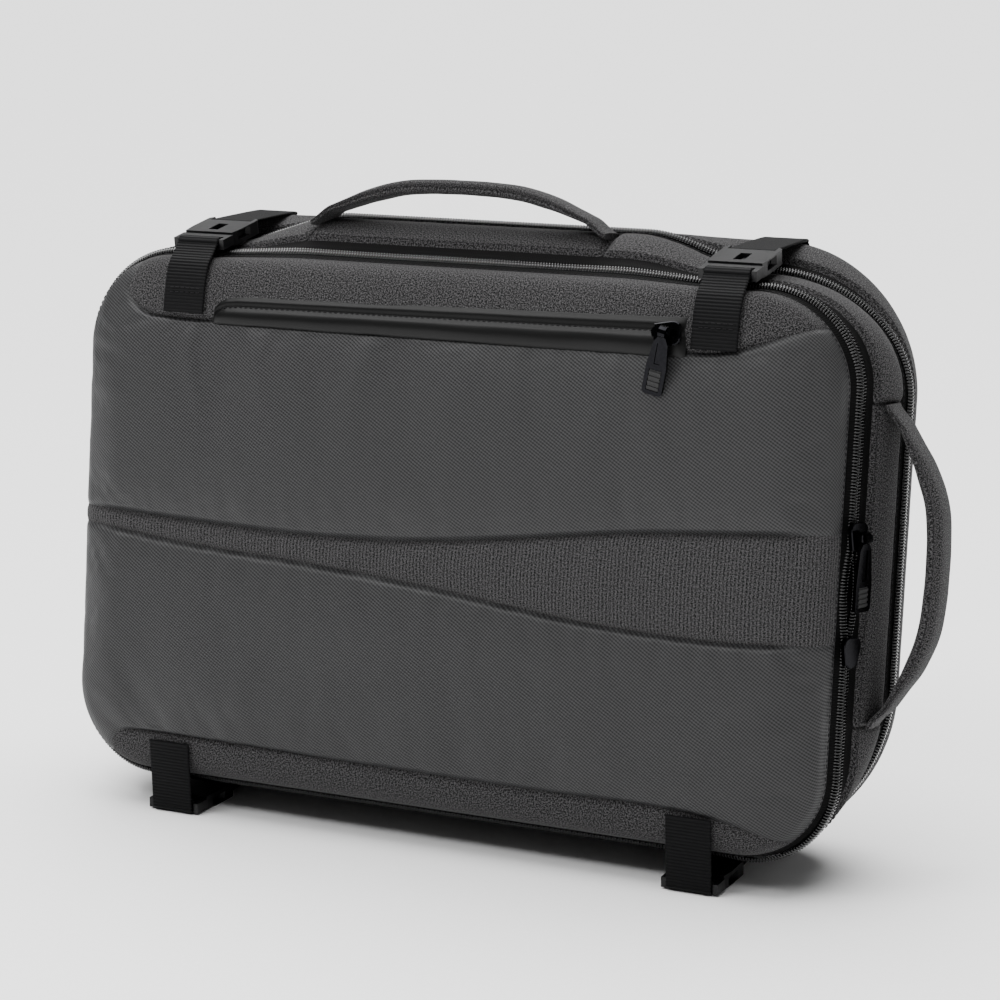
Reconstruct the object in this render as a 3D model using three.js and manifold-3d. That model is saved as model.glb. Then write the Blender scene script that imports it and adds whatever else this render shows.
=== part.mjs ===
// Convertible backpack standing on its long side like a briefcase.
// Millimetres, +Z up, the front panel faces -Y and the side handle stands out on +X.
// The bag leans back a little, because two buckles under its front edge lift it.

import * as THREE from 'three';
import { mergeVertices } from 'three/addons/utils/BufferGeometryUtils.js';
import Module from 'manifold-3d';

const wasm = await Module();
wasm.setup();
const { lerp, clamp, smoothstep, degToRad } = THREE.MathUtils;

// Bag body, measured at the line of the main zip
const zipLength = 444;
const zipHeight = 294;
const zipRise = 9;
const frontDepth = 28;
const rearDepth = 95;
const sideBulge = 13;
const crownBulge = 20;
const baseBulge = 9;
const strapDip = 16;
const dipStart = 88;
const dipEnd = 158;
const zipCornerTop = 52;
const zipCornerBase = 46;
const rearCornerTop = 78;
const rearCornerBase = 92;
const shellWall = 3;
const leanAngle = degToRad(6.5);
const leanPivot = 78;
const settle = 1.1;
const dipFadeRows = 4;
const dentStartRow = 2.5;
const dentFullRow = 5;

// Zips
const mainTape = 21;
const rearTape = 19;
const rearZipDepth = 42;
const tapeWall = 1.4;
const coilWidth = 7;
const coilHeight = 2.2;
const coilSlope = 0.4;

// Handles
const topHandleLength = 174;
const topHandleCentre = -11;
const topHandleLift = 17;
const sideHandleLength = 164;
const sideHandleCentre = 163;
const sideHandleLift = 24;
const handleDepth = 21.5;
const gripWidth = 18;
const gripThick = 7;
const endWidth = 21;
const endThick = 3.6;
const handleSides = 8;
const handleRoundness = 0.6;

// Compression straps and their side-release buckles
const strapCentre = 153;
const webWidth = 25;
const webThick = 1.5;
const buckleWidth = 31;
const buckleThick = 7.6;
const socketLength = 30;
const plugBase = 11;
const barRadius = 1.9;
const buckleTilt = degToRad(15);
const buckleSideWall = 2.5;
const buckleSocketRound = 4;
const prongLength = 18.6;
const prongThick = 3;
const sideProngWidth = 4;
const middleProngWidth = 3.2;
const windowWidth = 6;
const windowLength = 12;
const windowStart = 4.8;
const plugThickShare = 0.72;
const prongEndRoom = 2.4;
const mouthTaper = 1;
const mouthLength = 9;
const thumbOpening = { middle: 12, long: 13, reach: 4, high: 4.7, lift: 0.76 };
const topBuckleStart = -12;
const baseBuckleSetback = 3;
const seamInset = 1;
const topWebLastRun = -3.2;
const rearWebRuns = [4.9, 5.4, 6, 6.6, 7.2, 7.9];

// Pocket welt, sliders and pulls
const weltSwell = 1.6;
const sliderWidth = 11;
const sliderLength = 14;
const barHeight = 8.2;
const pinRadius = 1.1;
const pocketPullLength = 33;
const mainPullLength = 38;
const pullWidth = 11;
const pullThick = 2;
const pocketSliderPlace = 129;
const upperSliderPlace = 179;
const lowerSliderPlace = 121;
const pocketPullSwing = degToRad(12);
const pocketSliderRise = 9;
const mainPullLift = 2.6;
const plateHeight = 2.4;
const sliderBevel = 0.5;
const pinSpan = 5.4;
const lugWall = 1.5;
const lugReach = 1.7;
const lugCap = 1.5;
const gripLength = 11;
const gripRibs = 4;
const gripRibWidth = 1.1;
const pullRim = 2;
const pinPlay = 0.9;
const eyePlay = 0.8;
const eyeWall = 1.1;
const pullShoulder = 3;
const pullCorner = 2;

// Clearances
const gap = 0.3;
const rest = 0.7;
const buckleRest = 2.1;
const sliderSeat = 1.4;
const sliderLift = 0.9;
const weltGap = 0.6;
const backSeamGap = 0.03;

// Rows of the front shell from the main zip to the middle of the front panel:
// forward is a share of frontDepth, inset a share of half the zip height.
const frontRows = [
  { forward: 0.0, inset: 0.0 },
  { forward: 0.2, inset: 0.006 },
  { forward: 0.42, inset: 0.018 },
  { forward: 0.6, inset: 0.035 },
  { forward: 0.74, inset: 0.075 },
  { forward: 0.84, inset: 0.16 },
  { forward: 0.91, inset: 0.33 },
  { forward: 0.96, inset: 0.6 },
  { forward: 1.0, inset: 0.88 },
];

// Rows behind the main zip to the middle of the back panel: depth is a share of rearDepth,
// side, crown, base and dip are shares of their bulges, round goes from the zip corner to the
// rear corner, and tuck is a share of half the zip height.
const rearRows = [
  { depth: 0.0, side: 0.0, crown: 0.0, base: 0.0, round: 0.0, dip: 0.2, tuck: 0.0 },
  { depth: 0.11, side: 0.5, crown: 0.5, base: 0.22, round: 0.3, dip: 0.65, tuck: 0.0 },
  { depth: 0.26, side: 0.88, crown: 0.9, base: 0.36, round: 0.7, dip: 1.0, tuck: 0.0 },
  { depth: 0.44, side: 1.0, crown: 1.0, base: 0.45, round: 1.0, dip: 1.0, tuck: 0.0 },
  { depth: 0.6, side: 0.88, crown: 1.0, base: 0.75, round: 1.0, dip: 0.4, tuck: 0.0 },
  { depth: 0.76, side: 0.5, crown: 0.9, base: 1.0, round: 1.0, dip: 0.0, tuck: 0.0 },
  { depth: 0.88, side: 0.1, crown: 0.6, base: 1.0, round: 1.0, dip: 0.0, tuck: 0.04 },
  { depth: 0.96, side: 0.0, crown: 0.3, base: 0.6, round: 0.8, dip: 0.0, tuck: 0.11 },
  { depth: 1.0, side: 0.0, crown: 0.0, base: 0.0, round: 0.5, dip: 0.0, tuck: 0.22 },
  { depth: 1.03, side: 0.0, crown: 0.0, base: 0.0, round: 0.3, dip: 0.0, tuck: 0.45 },
  { depth: 1.04, side: 0.0, crown: 0.0, base: 0.0, round: 0.2, dip: 0.0, tuck: 0.88 },
];

// Soft dents of the front panel: x is a share of half the zip length, z of the zip height,
// spanX and spanZ their reach in the same shares, sink a share of frontDepth.
const frontDents = [
  { x: -0.62, z: 0.76, spanX: 0.07, spanZ: 0.12, sink: 0.07 },
  { x: -0.12, z: 0.8, spanX: 0.16, spanZ: 0.1, sink: 0.06 },
  { x: 0.42, z: 0.77, spanX: 0.1, spanZ: 0.1, sink: 0.05 },
  { x: -0.78, z: 0.22, spanX: 0.09, spanZ: 0.16, sink: 0.07 },
  { x: 0.55, z: 0.2, spanX: 0.1, spanZ: 0.13, sink: 0.06 },
];

// Seams of the front shell: x is a share of half the zip length, z of the zip height.
const topSeam = [
  { x: -0.83, z: 1.06 },
  { x: -0.855, z: 0.95 },
  { x: -0.862, z: 0.912 },
  { x: -0.81, z: 0.878 },
  { x: -0.72, z: 0.869 },
  { x: -0.4, z: 0.867 },
  { x: 0.2, z: 0.87 },
  { x: 0.62, z: 0.873 },
  { x: 0.73, z: 0.882 },
  { x: 0.8, z: 0.897 },
  { x: 0.96, z: 0.94 },
  { x: 1.1, z: 0.965 },
];
const insetTopSeam = [
  { x: -1.1, z: 0.505 },
  { x: -0.93, z: 0.503 },
  { x: -0.667, z: 0.497 },
  { x: -0.36, z: 0.493 },
  { x: -0.16, z: 0.497 },
  { x: 0.0, z: 0.505 },
  { x: 0.2, z: 0.523 },
  { x: 0.47, z: 0.551 },
  { x: 0.67, z: 0.565 },
  { x: 0.97, z: 0.581 },
  { x: 1.1, z: 0.586 },
];
const insetBaseSeam = [
  { x: -1.1, z: 0.475 },
  { x: -0.93, z: 0.47 },
  { x: -0.667, z: 0.453 },
  { x: -0.356, z: 0.442 },
  { x: -0.158, z: 0.432 },
  { x: 0.036, z: 0.42 },
  { x: 0.2, z: 0.406 },
  { x: 0.41, z: 0.391 },
  { x: 0.617, z: 0.384 },
  { x: 0.8, z: 0.385 },
  { x: 1.1, z: 0.4 },
];
const baseSeam = [
  { x: -0.9, z: -0.08 },
  { x: -0.885, z: 0.03 },
  { x: -0.865, z: 0.066 },
  { x: -0.8, z: 0.086 },
  { x: -0.5, z: 0.087 },
  { x: -0.2, z: 0.083 },
  { x: 0.3, z: 0.081 },
  { x: 0.58, z: 0.083 },
  { x: 0.76, z: 0.072 },
  { x: 0.9, z: 0.045 },
  { x: 1.1, z: 0.01 },
];

// Outline of the pocket welt, from its lower left corner round to its lower right corner
const weltOutline = [
  { x: -0.609, z: 0.861 },
  { x: -0.61, z: 0.882 },
  { x: -0.605, z: 0.895 },
  { x: -0.592, z: 0.905 },
  { x: -0.572, z: 0.912 },
  { x: -0.54, z: 0.915 },
  { x: -0.1, z: 0.921 },
  { x: 0.3, z: 0.927 },
  { x: 0.6, z: 0.932 },
  { x: 0.618, z: 0.926 },
  { x: 0.622, z: 0.862 },
];

const cornerSteps = 5;
const longSteps = 8;
const shortSteps = 5;
const seamSteps = 26;
const halvings = 40;
const backSeam = 8.2;
const rearShellRuns = [4.4, 5.1, 5.9, 6.8];
const backPanelRuns = [9, 10];
const gussetRuns = [1, 1.5, 2, 2.5];
const runMargin = 0.1;
const halfZipLength = zipLength / 2;
const halfZipHeight = zipHeight / 2;
const zipTop = zipRise + zipHeight;

// One material per kind of cloth or hardware
const materials = {
  twill: new THREE.MeshStandardMaterial({ color: 0x3c3b3d, roughness: 0.6, metalness: 0 }),
  melange: new THREE.MeshStandardMaterial({ color: 0x434244, roughness: 0.95, metalness: 0 }),
  welt: new THREE.MeshStandardMaterial({ color: 0x3a393b, roughness: 0.45, metalness: 0 }),
  tape: new THREE.MeshStandardMaterial({ color: 0x17161a, roughness: 0.8, metalness: 0 }),
  webbing: new THREE.MeshStandardMaterial({ color: 0x1c1a1d, roughness: 0.85, metalness: 0 }),
  acetal: new THREE.MeshStandardMaterial({ color: 0x111114, roughness: 0.35, metalness: 0 }),
  zinc: new THREE.MeshStandardMaterial({ color: 0x2a292c, roughness: 0.3, metalness: 0.9 }),
  rubber: new THREE.MeshStandardMaterial({ color: 0x1f1e20, roughness: 0.7, metalness: 0 }),
  backCloth: new THREE.MeshStandardMaterial({ color: 0x29282a, roughness: 0.95, metalness: 0 }),
};

// Smooth value of every column between the rows of a table
function rowAt(rows, place) {
  const last = rows.length - 1;
  const held = clamp(place, 0, last);
  const index = Math.min(Math.floor(held), last - 1);
  const share = held - index;
  const near = [-1, 0, 1, 2].map((step) => rows[clamp(index + step, 0, last)]);
  const row = {};
  for (const column of Object.keys(rows[0])) {
    const [a, b, c, d] = near.map((entry) => entry[column]);
    const slopeIn = (c - a) / 2;
    const slopeOut = (d - b) / 2;
    const square = share * share;
    const cube = square * share;
    row[column] =
      (2 * cube - 3 * square + 1) * b +
      (cube - 2 * square + share) * slopeIn +
      (3 * square - 2 * cube) * c +
      (cube - square) * slopeOut;
  }
  return row;
}

// Rounded rectangle of the body at a run: negative runs are front rows, positive ones rear rows
function sectionAt(run) {
  if (run < 0) {
    const row = rowAt(frontRows, -run);
    const inset = row.inset * halfZipHeight;
    return {
      depth: -row.forward * frontDepth,
      halfWidth: halfZipLength - inset,
      low: zipRise + inset,
      high: zipTop - inset,
      cornerTop: zipCornerTop,
      cornerBase: zipCornerBase,
      dip: strapDip * rearRows[0].dip * (1 - smoothstep(-run, 0, dipFadeRows)),
    };
  }
  const row = rowAt(rearRows, run);
  const tuck = row.tuck * halfZipHeight;
  return {
    depth: row.depth * rearDepth,
    halfWidth: halfZipLength + row.side * sideBulge - tuck,
    low: zipRise - row.base * baseBulge + tuck,
    high: zipTop + row.crown * crownBulge - tuck,
    cornerTop: lerp(zipCornerTop, rearCornerTop, row.round),
    cornerBase: lerp(zipCornerBase, rearCornerBase, row.round),
    dip: row.dip * strapDip,
  };
}

// Run at which the body reaches a depth, negative in front of the main zip
function runAtDepth(depth) {
  let [near, far] = depth < 0 ? [0, frontRows.length - 1] : [0, rearRows.length - 3];
  const sign = Math.sign(depth);
  for (let step = 0; step < halvings; step += 1) {
    const middle = (near + far) / 2;
    if (Math.abs(sectionAt(sign * middle).depth) < Math.abs(depth)) {
      near = middle;
    } else {
      far = middle;
    }
  }
  return sign * near;
}

// Places round the outline, anticlockwise from the left end of the base edge
function outlinePlaces() {
  const places = [];
  const edges = [longSteps, shortSteps, longSteps, shortSteps];
  edges.forEach((steps, edge) => {
    for (let step = 1; step < steps; step += 1) {
      places.push({ edge, share: step / steps, onCorner: false });
    }
    for (let step = 0; step <= cornerSteps; step += 1) {
      places.push({ edge, share: step / cornerSteps, onCorner: true });
    }
  });
  return places;
}
const places = outlinePlaces();

function dentAt(x, z) {
  let sink = 0;
  for (const dent of frontDents) {
    const acrossX = (x / halfZipLength - dent.x) / dent.spanX;
    const acrossZ = ((z - zipRise) / zipHeight - dent.z) / dent.spanZ;
    sink += dent.sink * frontDepth * Math.exp(-(acrossX * acrossX) - acrossZ * acrossZ);
  }
  return sink;
}

// Point of the body's outer surface at an outline place and a run
function bodyPoint(place, run) {
  const section = sectionAt(run);
  const height = section.high - section.low;
  const fit = Math.min(1, (height - 1) / (section.cornerTop + section.cornerBase));
  const top = section.cornerTop * fit;
  const base = section.cornerBase * fit;
  const wide = section.halfWidth;
  const corners = [
    { x: wide - base, z: section.low + base, radius: base },
    { x: wide - top, z: section.high - top, radius: top },
    { x: -wide + top, z: section.high - top, radius: top },
    { x: -wide + base, z: section.low + base, radius: base },
  ];
  const corner = corners[place.edge];
  const before = corners[(place.edge + 3) % 4];
  const startAngle = (place.edge - 1) * (Math.PI / 2);
  let x;
  let z;
  let lift;
  if (place.onCorner) {
    const angle = startAngle + place.share * (Math.PI / 2);
    x = corner.x + corner.radius * Math.cos(angle);
    z = corner.z + corner.radius * Math.sin(angle);
    lift = Math.sin(angle);
  } else {
    const outX = Math.cos(startAngle);
    const outZ = Math.sin(startAngle);
    x = lerp(before.x + before.radius * outX, corner.x + corner.radius * outX, place.share);
    z = lerp(before.z + before.radius * outZ, corner.z + corner.radius * outZ, place.share);
    lift = outZ;
  }
  z -= section.dip * smoothstep(Math.abs(x), dipStart, dipEnd) * Math.max(0, lift);
  const dent = run < 0 ? dentAt(x, z) * smoothstep(-run, dentStartRow, dentFullRow) : 0;
  return new THREE.Vector3(x, section.depth + dent, z);
}

// Outward normal of the body surface
function bodyNormal(place, run) {
  const step = 0.05;
  const turn = 0.02;
  const last = run < 0 ? frontRows.length - 1 : rearRows.length - 1;
  const low = run < 0 ? Math.max(run - step, -last) : run - step;
  const high = run < 0 ? run + step : Math.min(run + step, last);
  const ahead = { ...place, share: place.share + turn };
  const behind = { ...place, share: place.share - turn };
  const around = bodyPoint(ahead, run).sub(bodyPoint(behind, run));
  const along = bodyPoint(place, high).sub(bodyPoint(place, low));
  return along.cross(around).normalize();
}

// Ring of points round the body, moved out by an offset
function bodyRing(run, offset) {
  return places.map((place) => bodyPoint(place, run).addScaledVector(bodyNormal(place, run), offset));
}

// Closed solid through rings of equally many points, joined end to start or capped at both ends
function loftRings(rings, joined) {
  const count = rings[0].length;
  const positions = rings.flatMap((ring) => ring.flatMap((point) => point.toArray()));
  const indices = [];
  const spans = joined ? rings.length : rings.length - 1;
  for (let ring = 0; ring < spans; ring += 1) {
    const here = ring * count;
    const next = ((ring + 1) % rings.length) * count;
    for (let side = 0; side < count; side += 1) {
      const beside = (side + 1) % count;
      indices.push(here + side, here + beside, next + side);
      indices.push(here + beside, next + beside, next + side);
    }
  }
  if (!joined) {
    for (const [ring, turn] of [[0, 1], [rings.length - 1, 0]]) {
      const middle = new THREE.Vector3();
      rings[ring].forEach((point) => middle.addScaledVector(point, 1 / count));
      const hub = positions.length / 3;
      positions.push(...middle.toArray());
      for (let side = 0; side < count; side += 1) {
        const first = ring * count + side;
        const second = ring * count + ((side + 1) % count);
        indices.push(hub, turn ? second : first, turn ? first : second);
      }
    }
  }
  return orientedGeometry(positions, indices);
}

// Geometry with its faces turned outward
function orientedGeometry(positions, indices) {
  const corner = (index) => new THREE.Vector3().fromArray(positions, index * 3);
  let volume = 0;
  for (let start = 0; start < indices.length; start += 3) {
    const [a, b, c] = [0, 1, 2].map((step) => corner(indices[start + step]));
    volume += a.dot(b.cross(c));
  }
  if (volume < 0) {
    indices.reverse();
  }
  const geometry = new THREE.BufferGeometry();
  geometry.setAttribute('position', new THREE.Float32BufferAttribute(positions, 3));
  geometry.setIndex(indices);
  geometry.computeVertexNormals();
  return geometry;
}

// Shell wall from a rim to the middle of a panel, open at the rim
function cupGeometry(rimRun, rowRuns, swell) {
  const runs = [rimRun, ...rowRuns];
  const outer = runs.map((run) => bodyRing(run, swell));
  const inner = runs.map((run) => bodyRing(run, -shellWall)).reverse();
  return loftRings([...inner, ...outer], false);
}

// Shell wall between two runs, open at both sides
function ringWall(runs) {
  const outer = runs.map((run) => bodyRing(run, 0));
  const inner = runs.map((run) => bodyRing(run, -shellWall)).reverse();
  return loftRings([...outer, ...inner], true);
}

// Zip tape with its raised coil, all the way round the body
function zipRing(depth, tapeWidth) {
  const half = tapeWidth / 2;
  const coil = coilWidth / 2;
  const profile = [
    { across: -half, out: 0 },
    { across: -coil - coilSlope, out: 0 },
    { across: -coil + coilSlope, out: coilHeight },
    { across: coil - coilSlope, out: coilHeight },
    { across: coil + coilSlope, out: 0 },
    { across: half, out: 0 },
    { across: half, out: -tapeWall },
    { across: -half, out: -tapeWall },
  ];
  const rings = profile.map(({ across, out }) => bodyRing(runAtDepth(depth + across), out));
  return loftRings(rings, true);
}

function toSolid(geometry) {
  const bare = new THREE.BufferGeometry();
  bare.setAttribute('position', geometry.getAttribute('position').clone());
  if (geometry.index) {
    bare.setIndex(geometry.index.clone());
  }
  const merged = mergeVertices(bare, 1e-4);
  const mesh = new wasm.Mesh({
    numProp: 3,
    vertProperties: new Float32Array(merged.getAttribute('position').array),
    triVerts: new Uint32Array(merged.index.array),
  });
  return new wasm.Manifold(mesh);
}

function toGeometry(solid) {
  const mesh = solid.getMesh();
  const geometry = new THREE.BufferGeometry();
  geometry.setAttribute('position', new THREE.Float32BufferAttribute(mesh.vertProperties, 3));
  geometry.setIndex(Array.from(mesh.triVerts));
  geometry.computeVertexNormals();
  return geometry;
}

// Point of a share table row in the plane of the front panel
function frontPoint(row) {
  return new THREE.Vector2(row.x * halfZipLength, zipRise + row.z * zipHeight);
}

// Points along a seam, moved to its upper side by an offset
function seamPoints(rows, offset) {
  return besideLine(new THREE.SplineCurve(rows.map(frontPoint)).getSpacedPoints(seamSteps), offset, false);
}

// Line of points moved to its left by an offset, with its corners mitred
function besideLine(line, offset, closed) {
  const last = line.length - 1;
  return line.map((point, index) => {
    const hasBefore = closed || index > 0;
    const hasAfter = closed || index < last;
    const before = line[(index + last) % line.length];
    const after = line[(index + 1) % line.length];
    const arriving = new THREE.Vector2().subVectors(point, before).normalize();
    const leaving = new THREE.Vector2().subVectors(after, point).normalize();
    const inward = hasBefore ? arriving : leaving;
    const outward = hasAfter ? leaving : arriving;
    const along = inward.clone().add(outward).normalize();
    const reach = offset / along.dot(inward);
    return new THREE.Vector2(point.x - along.y * reach, point.y + along.x * reach);
  });
}

// Upright prism through the front shell over an outline in the plane of the front panel
function frontPrism(outline) {
  const reach = frontDepth * 2;
  const geometry = new THREE.ExtrudeGeometry(new THREE.Shape(outline), {
    depth: reach,
    bevelEnabled: false,
  });
  geometry.rotateX(Math.PI / 2);
  return toSolid(geometry);
}

// Part of the front plane between two seams, or above or below one
function seamPrism(lower, upper) {
  const half = gap / 2;
  const far = zipLength;
  const lowLine = lower ? seamPoints(lower, half) : [frontCorner(-far, -far), frontCorner(far, -far)];
  const highLine = upper ? seamPoints(upper, -half) : [frontCorner(-far, far), frontCorner(far, far)];
  return frontPrism([...lowLine, ...highLine.reverse()]);
}

function frontCorner(x, z) {
  return new THREE.Vector2(x, zipRise + halfZipHeight + z);
}

function boxSolid(minimum, maximum) {
  const size = new THREE.Vector3().subVectors(maximum, minimum);
  const geometry = new THREE.BoxGeometry(size.x, size.y, size.z);
  geometry.translate(...new THREE.Vector3().addVectors(minimum, maximum).multiplyScalar(0.5).toArray());
  return toSolid(geometry);
}

const frontRim = runAtDepth(-(mainTape / 2 + gap));
const gussetStart = runAtDepth(mainTape / 2 + gap);
const gussetEnd = runAtDepth(rearZipDepth - rearTape / 2 - gap);
const rearStart = runAtDepth(rearZipDepth + rearTape / 2 + 2 * gap);

// Front shell, cut along its seams into cloth panels
function frontPieces() {
  const rowRuns = frontRows.map((row, index) => -index).filter((run) => run < frontRim - runMargin);
  const shell = toSolid(cupGeometry(frontRim, rowRuns, 0));
  const swollen = toSolid(cupGeometry(frontRim, rowRuns, weltSwell));
  const weltEdge = weltOutline.map(frontPoint);
  const welt = frontPrism(weltEdge);
  const weltRoom = frontPrism(besideLine(weltEdge, weltGap, true));
  const aboveTop = seamPrism(topSeam, null);
  return {
    front_top_band: shell.intersect(aboveTop).subtract(weltRoom),
    front_panel_upper: shell.intersect(seamPrism(insetTopSeam, topSeam)).subtract(weltRoom),
    front_inset: shell.intersect(seamPrism(insetBaseSeam, insetTopSeam)),
    front_panel_lower: shell.intersect(seamPrism(baseSeam, insetBaseSeam)),
    front_bottom_band: shell.intersect(seamPrism(null, baseSeam)),
    pocket_welt: swollen.intersect(welt),
  };
}

const topHandleStart = topHandleCentre - topHandleLength / 2;
const topHandleEnd = topHandleCentre + topHandleLength / 2;
const sideHandleStart = sideHandleCentre - sideHandleLength / 2;
const sideHandleEnd = sideHandleCentre + sideHandleLength / 2;

// Gusset between the two zips, cut at the seams that hold the handle ends
function gussetPieces() {
  const middleRuns = gussetRuns.filter(
    (run) => run > gussetStart + runMargin && run < gussetEnd - runMargin,
  );
  const wall = toSolid(ringWall([gussetStart, ...middleRuns, gussetEnd]));
  const far = zipLength;
  const cell = (lowX, lowZ, highX, highZ, grow) =>
    boxSolid(
      new THREE.Vector3(lowX - grow, -rearDepth, lowZ - grow),
      new THREE.Vector3(highX + grow, rearDepth * 2, highZ + grow),
    );
  const cells = {
    gusset_top_panel: [topHandleStart, halfZipHeight, topHandleEnd, far],
    gusset_corner_panel: [topHandleEnd, sideHandleEnd, far, far],
    gusset_side_panel: [topHandleEnd, sideHandleStart, far, sideHandleEnd],
  };
  const pieces = {};
  let wrap = wall;
  for (const [name, bounds] of Object.entries(cells)) {
    pieces[name] = wall.intersect(cell(...bounds, -gap / 2));
    wrap = wrap.subtract(cell(...bounds, gap / 2));
  }
  pieces.gusset_wrap = wrap;
  return pieces;
}

// Padded strip swept along a path, wide along the bag's depth, with flat ends
function handleGeometry(stations) {
  const rings = stations.map(({ point, outward, width, thick }) => {
    const ring = [];
    for (let side = 0; side < handleSides; side += 1) {
      const angle = ((side + 0.5) / handleSides) * Math.PI * 2;
      const squareCos = Math.sign(Math.cos(angle)) * Math.abs(Math.cos(angle)) ** handleRoundness;
      const squareSin = Math.sign(Math.sin(angle)) * Math.abs(Math.sin(angle)) ** handleRoundness;
      ring.push(
        point
          .clone()
          .add(new THREE.Vector3(0, (width / 2) * squareCos, 0))
          .addScaledVector(outward, (thick / 2) * squareSin),
      );
    }
    return ring;
  });
  return loftRings(rings, false);
}

// Shares of a handle from one end to the other: along its length, its lift, and how far it is
// folded into a grip
const handleRows = [
  { along: 0.0, lift: 0.0, fold: 0.0 },
  { along: 0.05, lift: 0.1, fold: 0.05 },
  { along: 0.12, lift: 0.36, fold: 0.35 },
  { along: 0.2, lift: 0.65, fold: 0.8 },
  { along: 0.32, lift: 0.93, fold: 1.0 },
  { along: 0.5, lift: 1.0, fold: 1.0 },
  { along: 0.68, lift: 0.92, fold: 1.0 },
  { along: 0.8, lift: 0.66, fold: 0.8 },
  { along: 0.88, lift: 0.38, fold: 0.35 },
  { along: 0.95, lift: 0.12, fold: 0.05 },
  { along: 1.0, lift: 0.0, fold: 0.0 },
];

// Stations of a handle that stands off the body from a start to an end coordinate
function handleStations(pointAt) {
  const stations = handleRows.map((row) => ({
    point: pointAt(row.along, row.lift),
    width: lerp(endWidth, gripWidth, row.fold),
    thick: lerp(endThick, gripThick, row.fold),
  }));
  stations.forEach((station, index) => {
    const before = stations[Math.max(index - 1, 0)].point;
    const after = stations[Math.min(index + 1, stations.length - 1)].point;
    const along = new THREE.Vector3().subVectors(after, before).normalize();
    station.outward = along.cross(new THREE.Vector3(0, 1, 0));
  });
  return stations;
}

// Highest point of the body under a strip that is wide along the depth
function crownUnder(x, halfSpan) {
  let high = -Infinity;
  for (const depth of [handleDepth - halfSpan, handleDepth, handleDepth + halfSpan]) {
    high = Math.max(high, edgeHeight(x, runAtDepth(depth), true));
  }
  return high;
}

function topHandle() {
  const seat = rest + endThick / 2;
  return handleGeometry(
    handleStations((along, lift) => {
      const x = lerp(topHandleStart + gap, topHandleEnd - gap, along);
      const z = crownUnder(x, endWidth / 2) + seat + lift * topHandleLift;
      return new THREE.Vector3(x, handleDepth, z);
    }),
  );
}

function sideHandle() {
  const seat = rest + endThick / 2;
  const widest = sectionAt(runAtDepth(handleDepth + endWidth / 2)).halfWidth;
  return handleGeometry(
    handleStations((along, lift) => {
      const z = lerp(sideHandleEnd - gap, sideHandleStart + gap, along);
      return new THREE.Vector3(widest + seat + lift * sideHandleLift, handleDepth, z);
    }),
  );
}

// Strip of webbing seen from the side: an outline round a path of depth and height points
function ribbonOutline(path) {
  const half = webThick / 2;
  return [...besideLine(path, half, false), ...besideLine(path, -half, false).reverse()];
}

// Solid of a side view outline, as wide as the webbing and centred on x = 0
function sideSlab(shape, width) {
  const geometry = new THREE.ExtrudeGeometry(shape, {
    depth: width,
    bevelEnabled: false,
    curveSegments: 5,
  });
  geometry.translate(0, 0, -width / 2);
  const turn = new THREE.Matrix4().makeBasis(
    new THREE.Vector3(0, 1, 0),
    new THREE.Vector3(0, 0, 1),
    new THREE.Vector3(1, 0, 0),
  );
  geometry.applyMatrix4(turn);
  return toSolid(geometry);
}

// Webbing that ends in a loop round a buckle bar
function loopedWebbing(path, bar) {
  const hole = barRadius + gap;
  const ring = new THREE.Shape().absarc(bar.x, bar.y, hole + webThick, 0, Math.PI * 2);
  ring.holes.push(new THREE.Path().absarc(bar.x, bar.y, hole, 0, Math.PI * 2));
  const strip = sideSlab(new THREE.Shape(ribbonOutline(path)), webWidth);
  return strip.add(sideSlab(ring, webWidth));
}

// Buckle plug and socket. Local frame: X across, Y from the plug bar to the socket bar, Z outward.
const slotReach = barRadius + gap + webThick + 0.4;
const plugBarPlace = barRadius;
const socketBarPlace = plugBase + gap + socketLength - barRadius;

// Room for the webbing round a bar at the end of a buckle half, and the bar itself
function barSlot(barPlace, toward) {
  const slotHalf = webWidth / 2 + gap;
  const inner = barPlace + toward * slotReach;
  const outer = barPlace - toward * slotReach;
  return boxSolid(
    new THREE.Vector3(-slotHalf, Math.min(inner, outer), -buckleThick),
    new THREE.Vector3(slotHalf, Math.max(inner, outer), buckleThick),
  );
}

function endBar(barPlace) {
  const bar = new THREE.CylinderGeometry(barRadius, barRadius, webWidth + 2 * gap + 1, 8);
  bar.rotateZ(Math.PI / 2);
  bar.translate(0, barPlace, 0);
  return toSolid(bar);
}

function bucklePlug() {
  const cavity = buckleWidth - 2 * buckleSideWall;
  const baseThick = buckleThick * plugThickShare;
  const base = boxSolid(
    new THREE.Vector3(-buckleWidth / 2, 0, -baseThick / 2),
    new THREE.Vector3(buckleWidth / 2, plugBase, baseThick / 2),
  );
  let plug = base.subtract(barSlot(plugBarPlace, 1)).add(endBar(plugBarPlace));
  for (const side of [-1, 0, 1]) {
    const half = (side === 0 ? middleProngWidth : sideProngWidth) / 2;
    const middle = side * (cavity / 2 - half - gap);
    plug = plug.add(
      boxSolid(
        new THREE.Vector3(middle - half, plugBase - 1, -prongThick / 2),
        new THREE.Vector3(middle + half, plugBase + prongLength, prongThick / 2),
      ),
    );
  }
  return plug;
}

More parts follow.
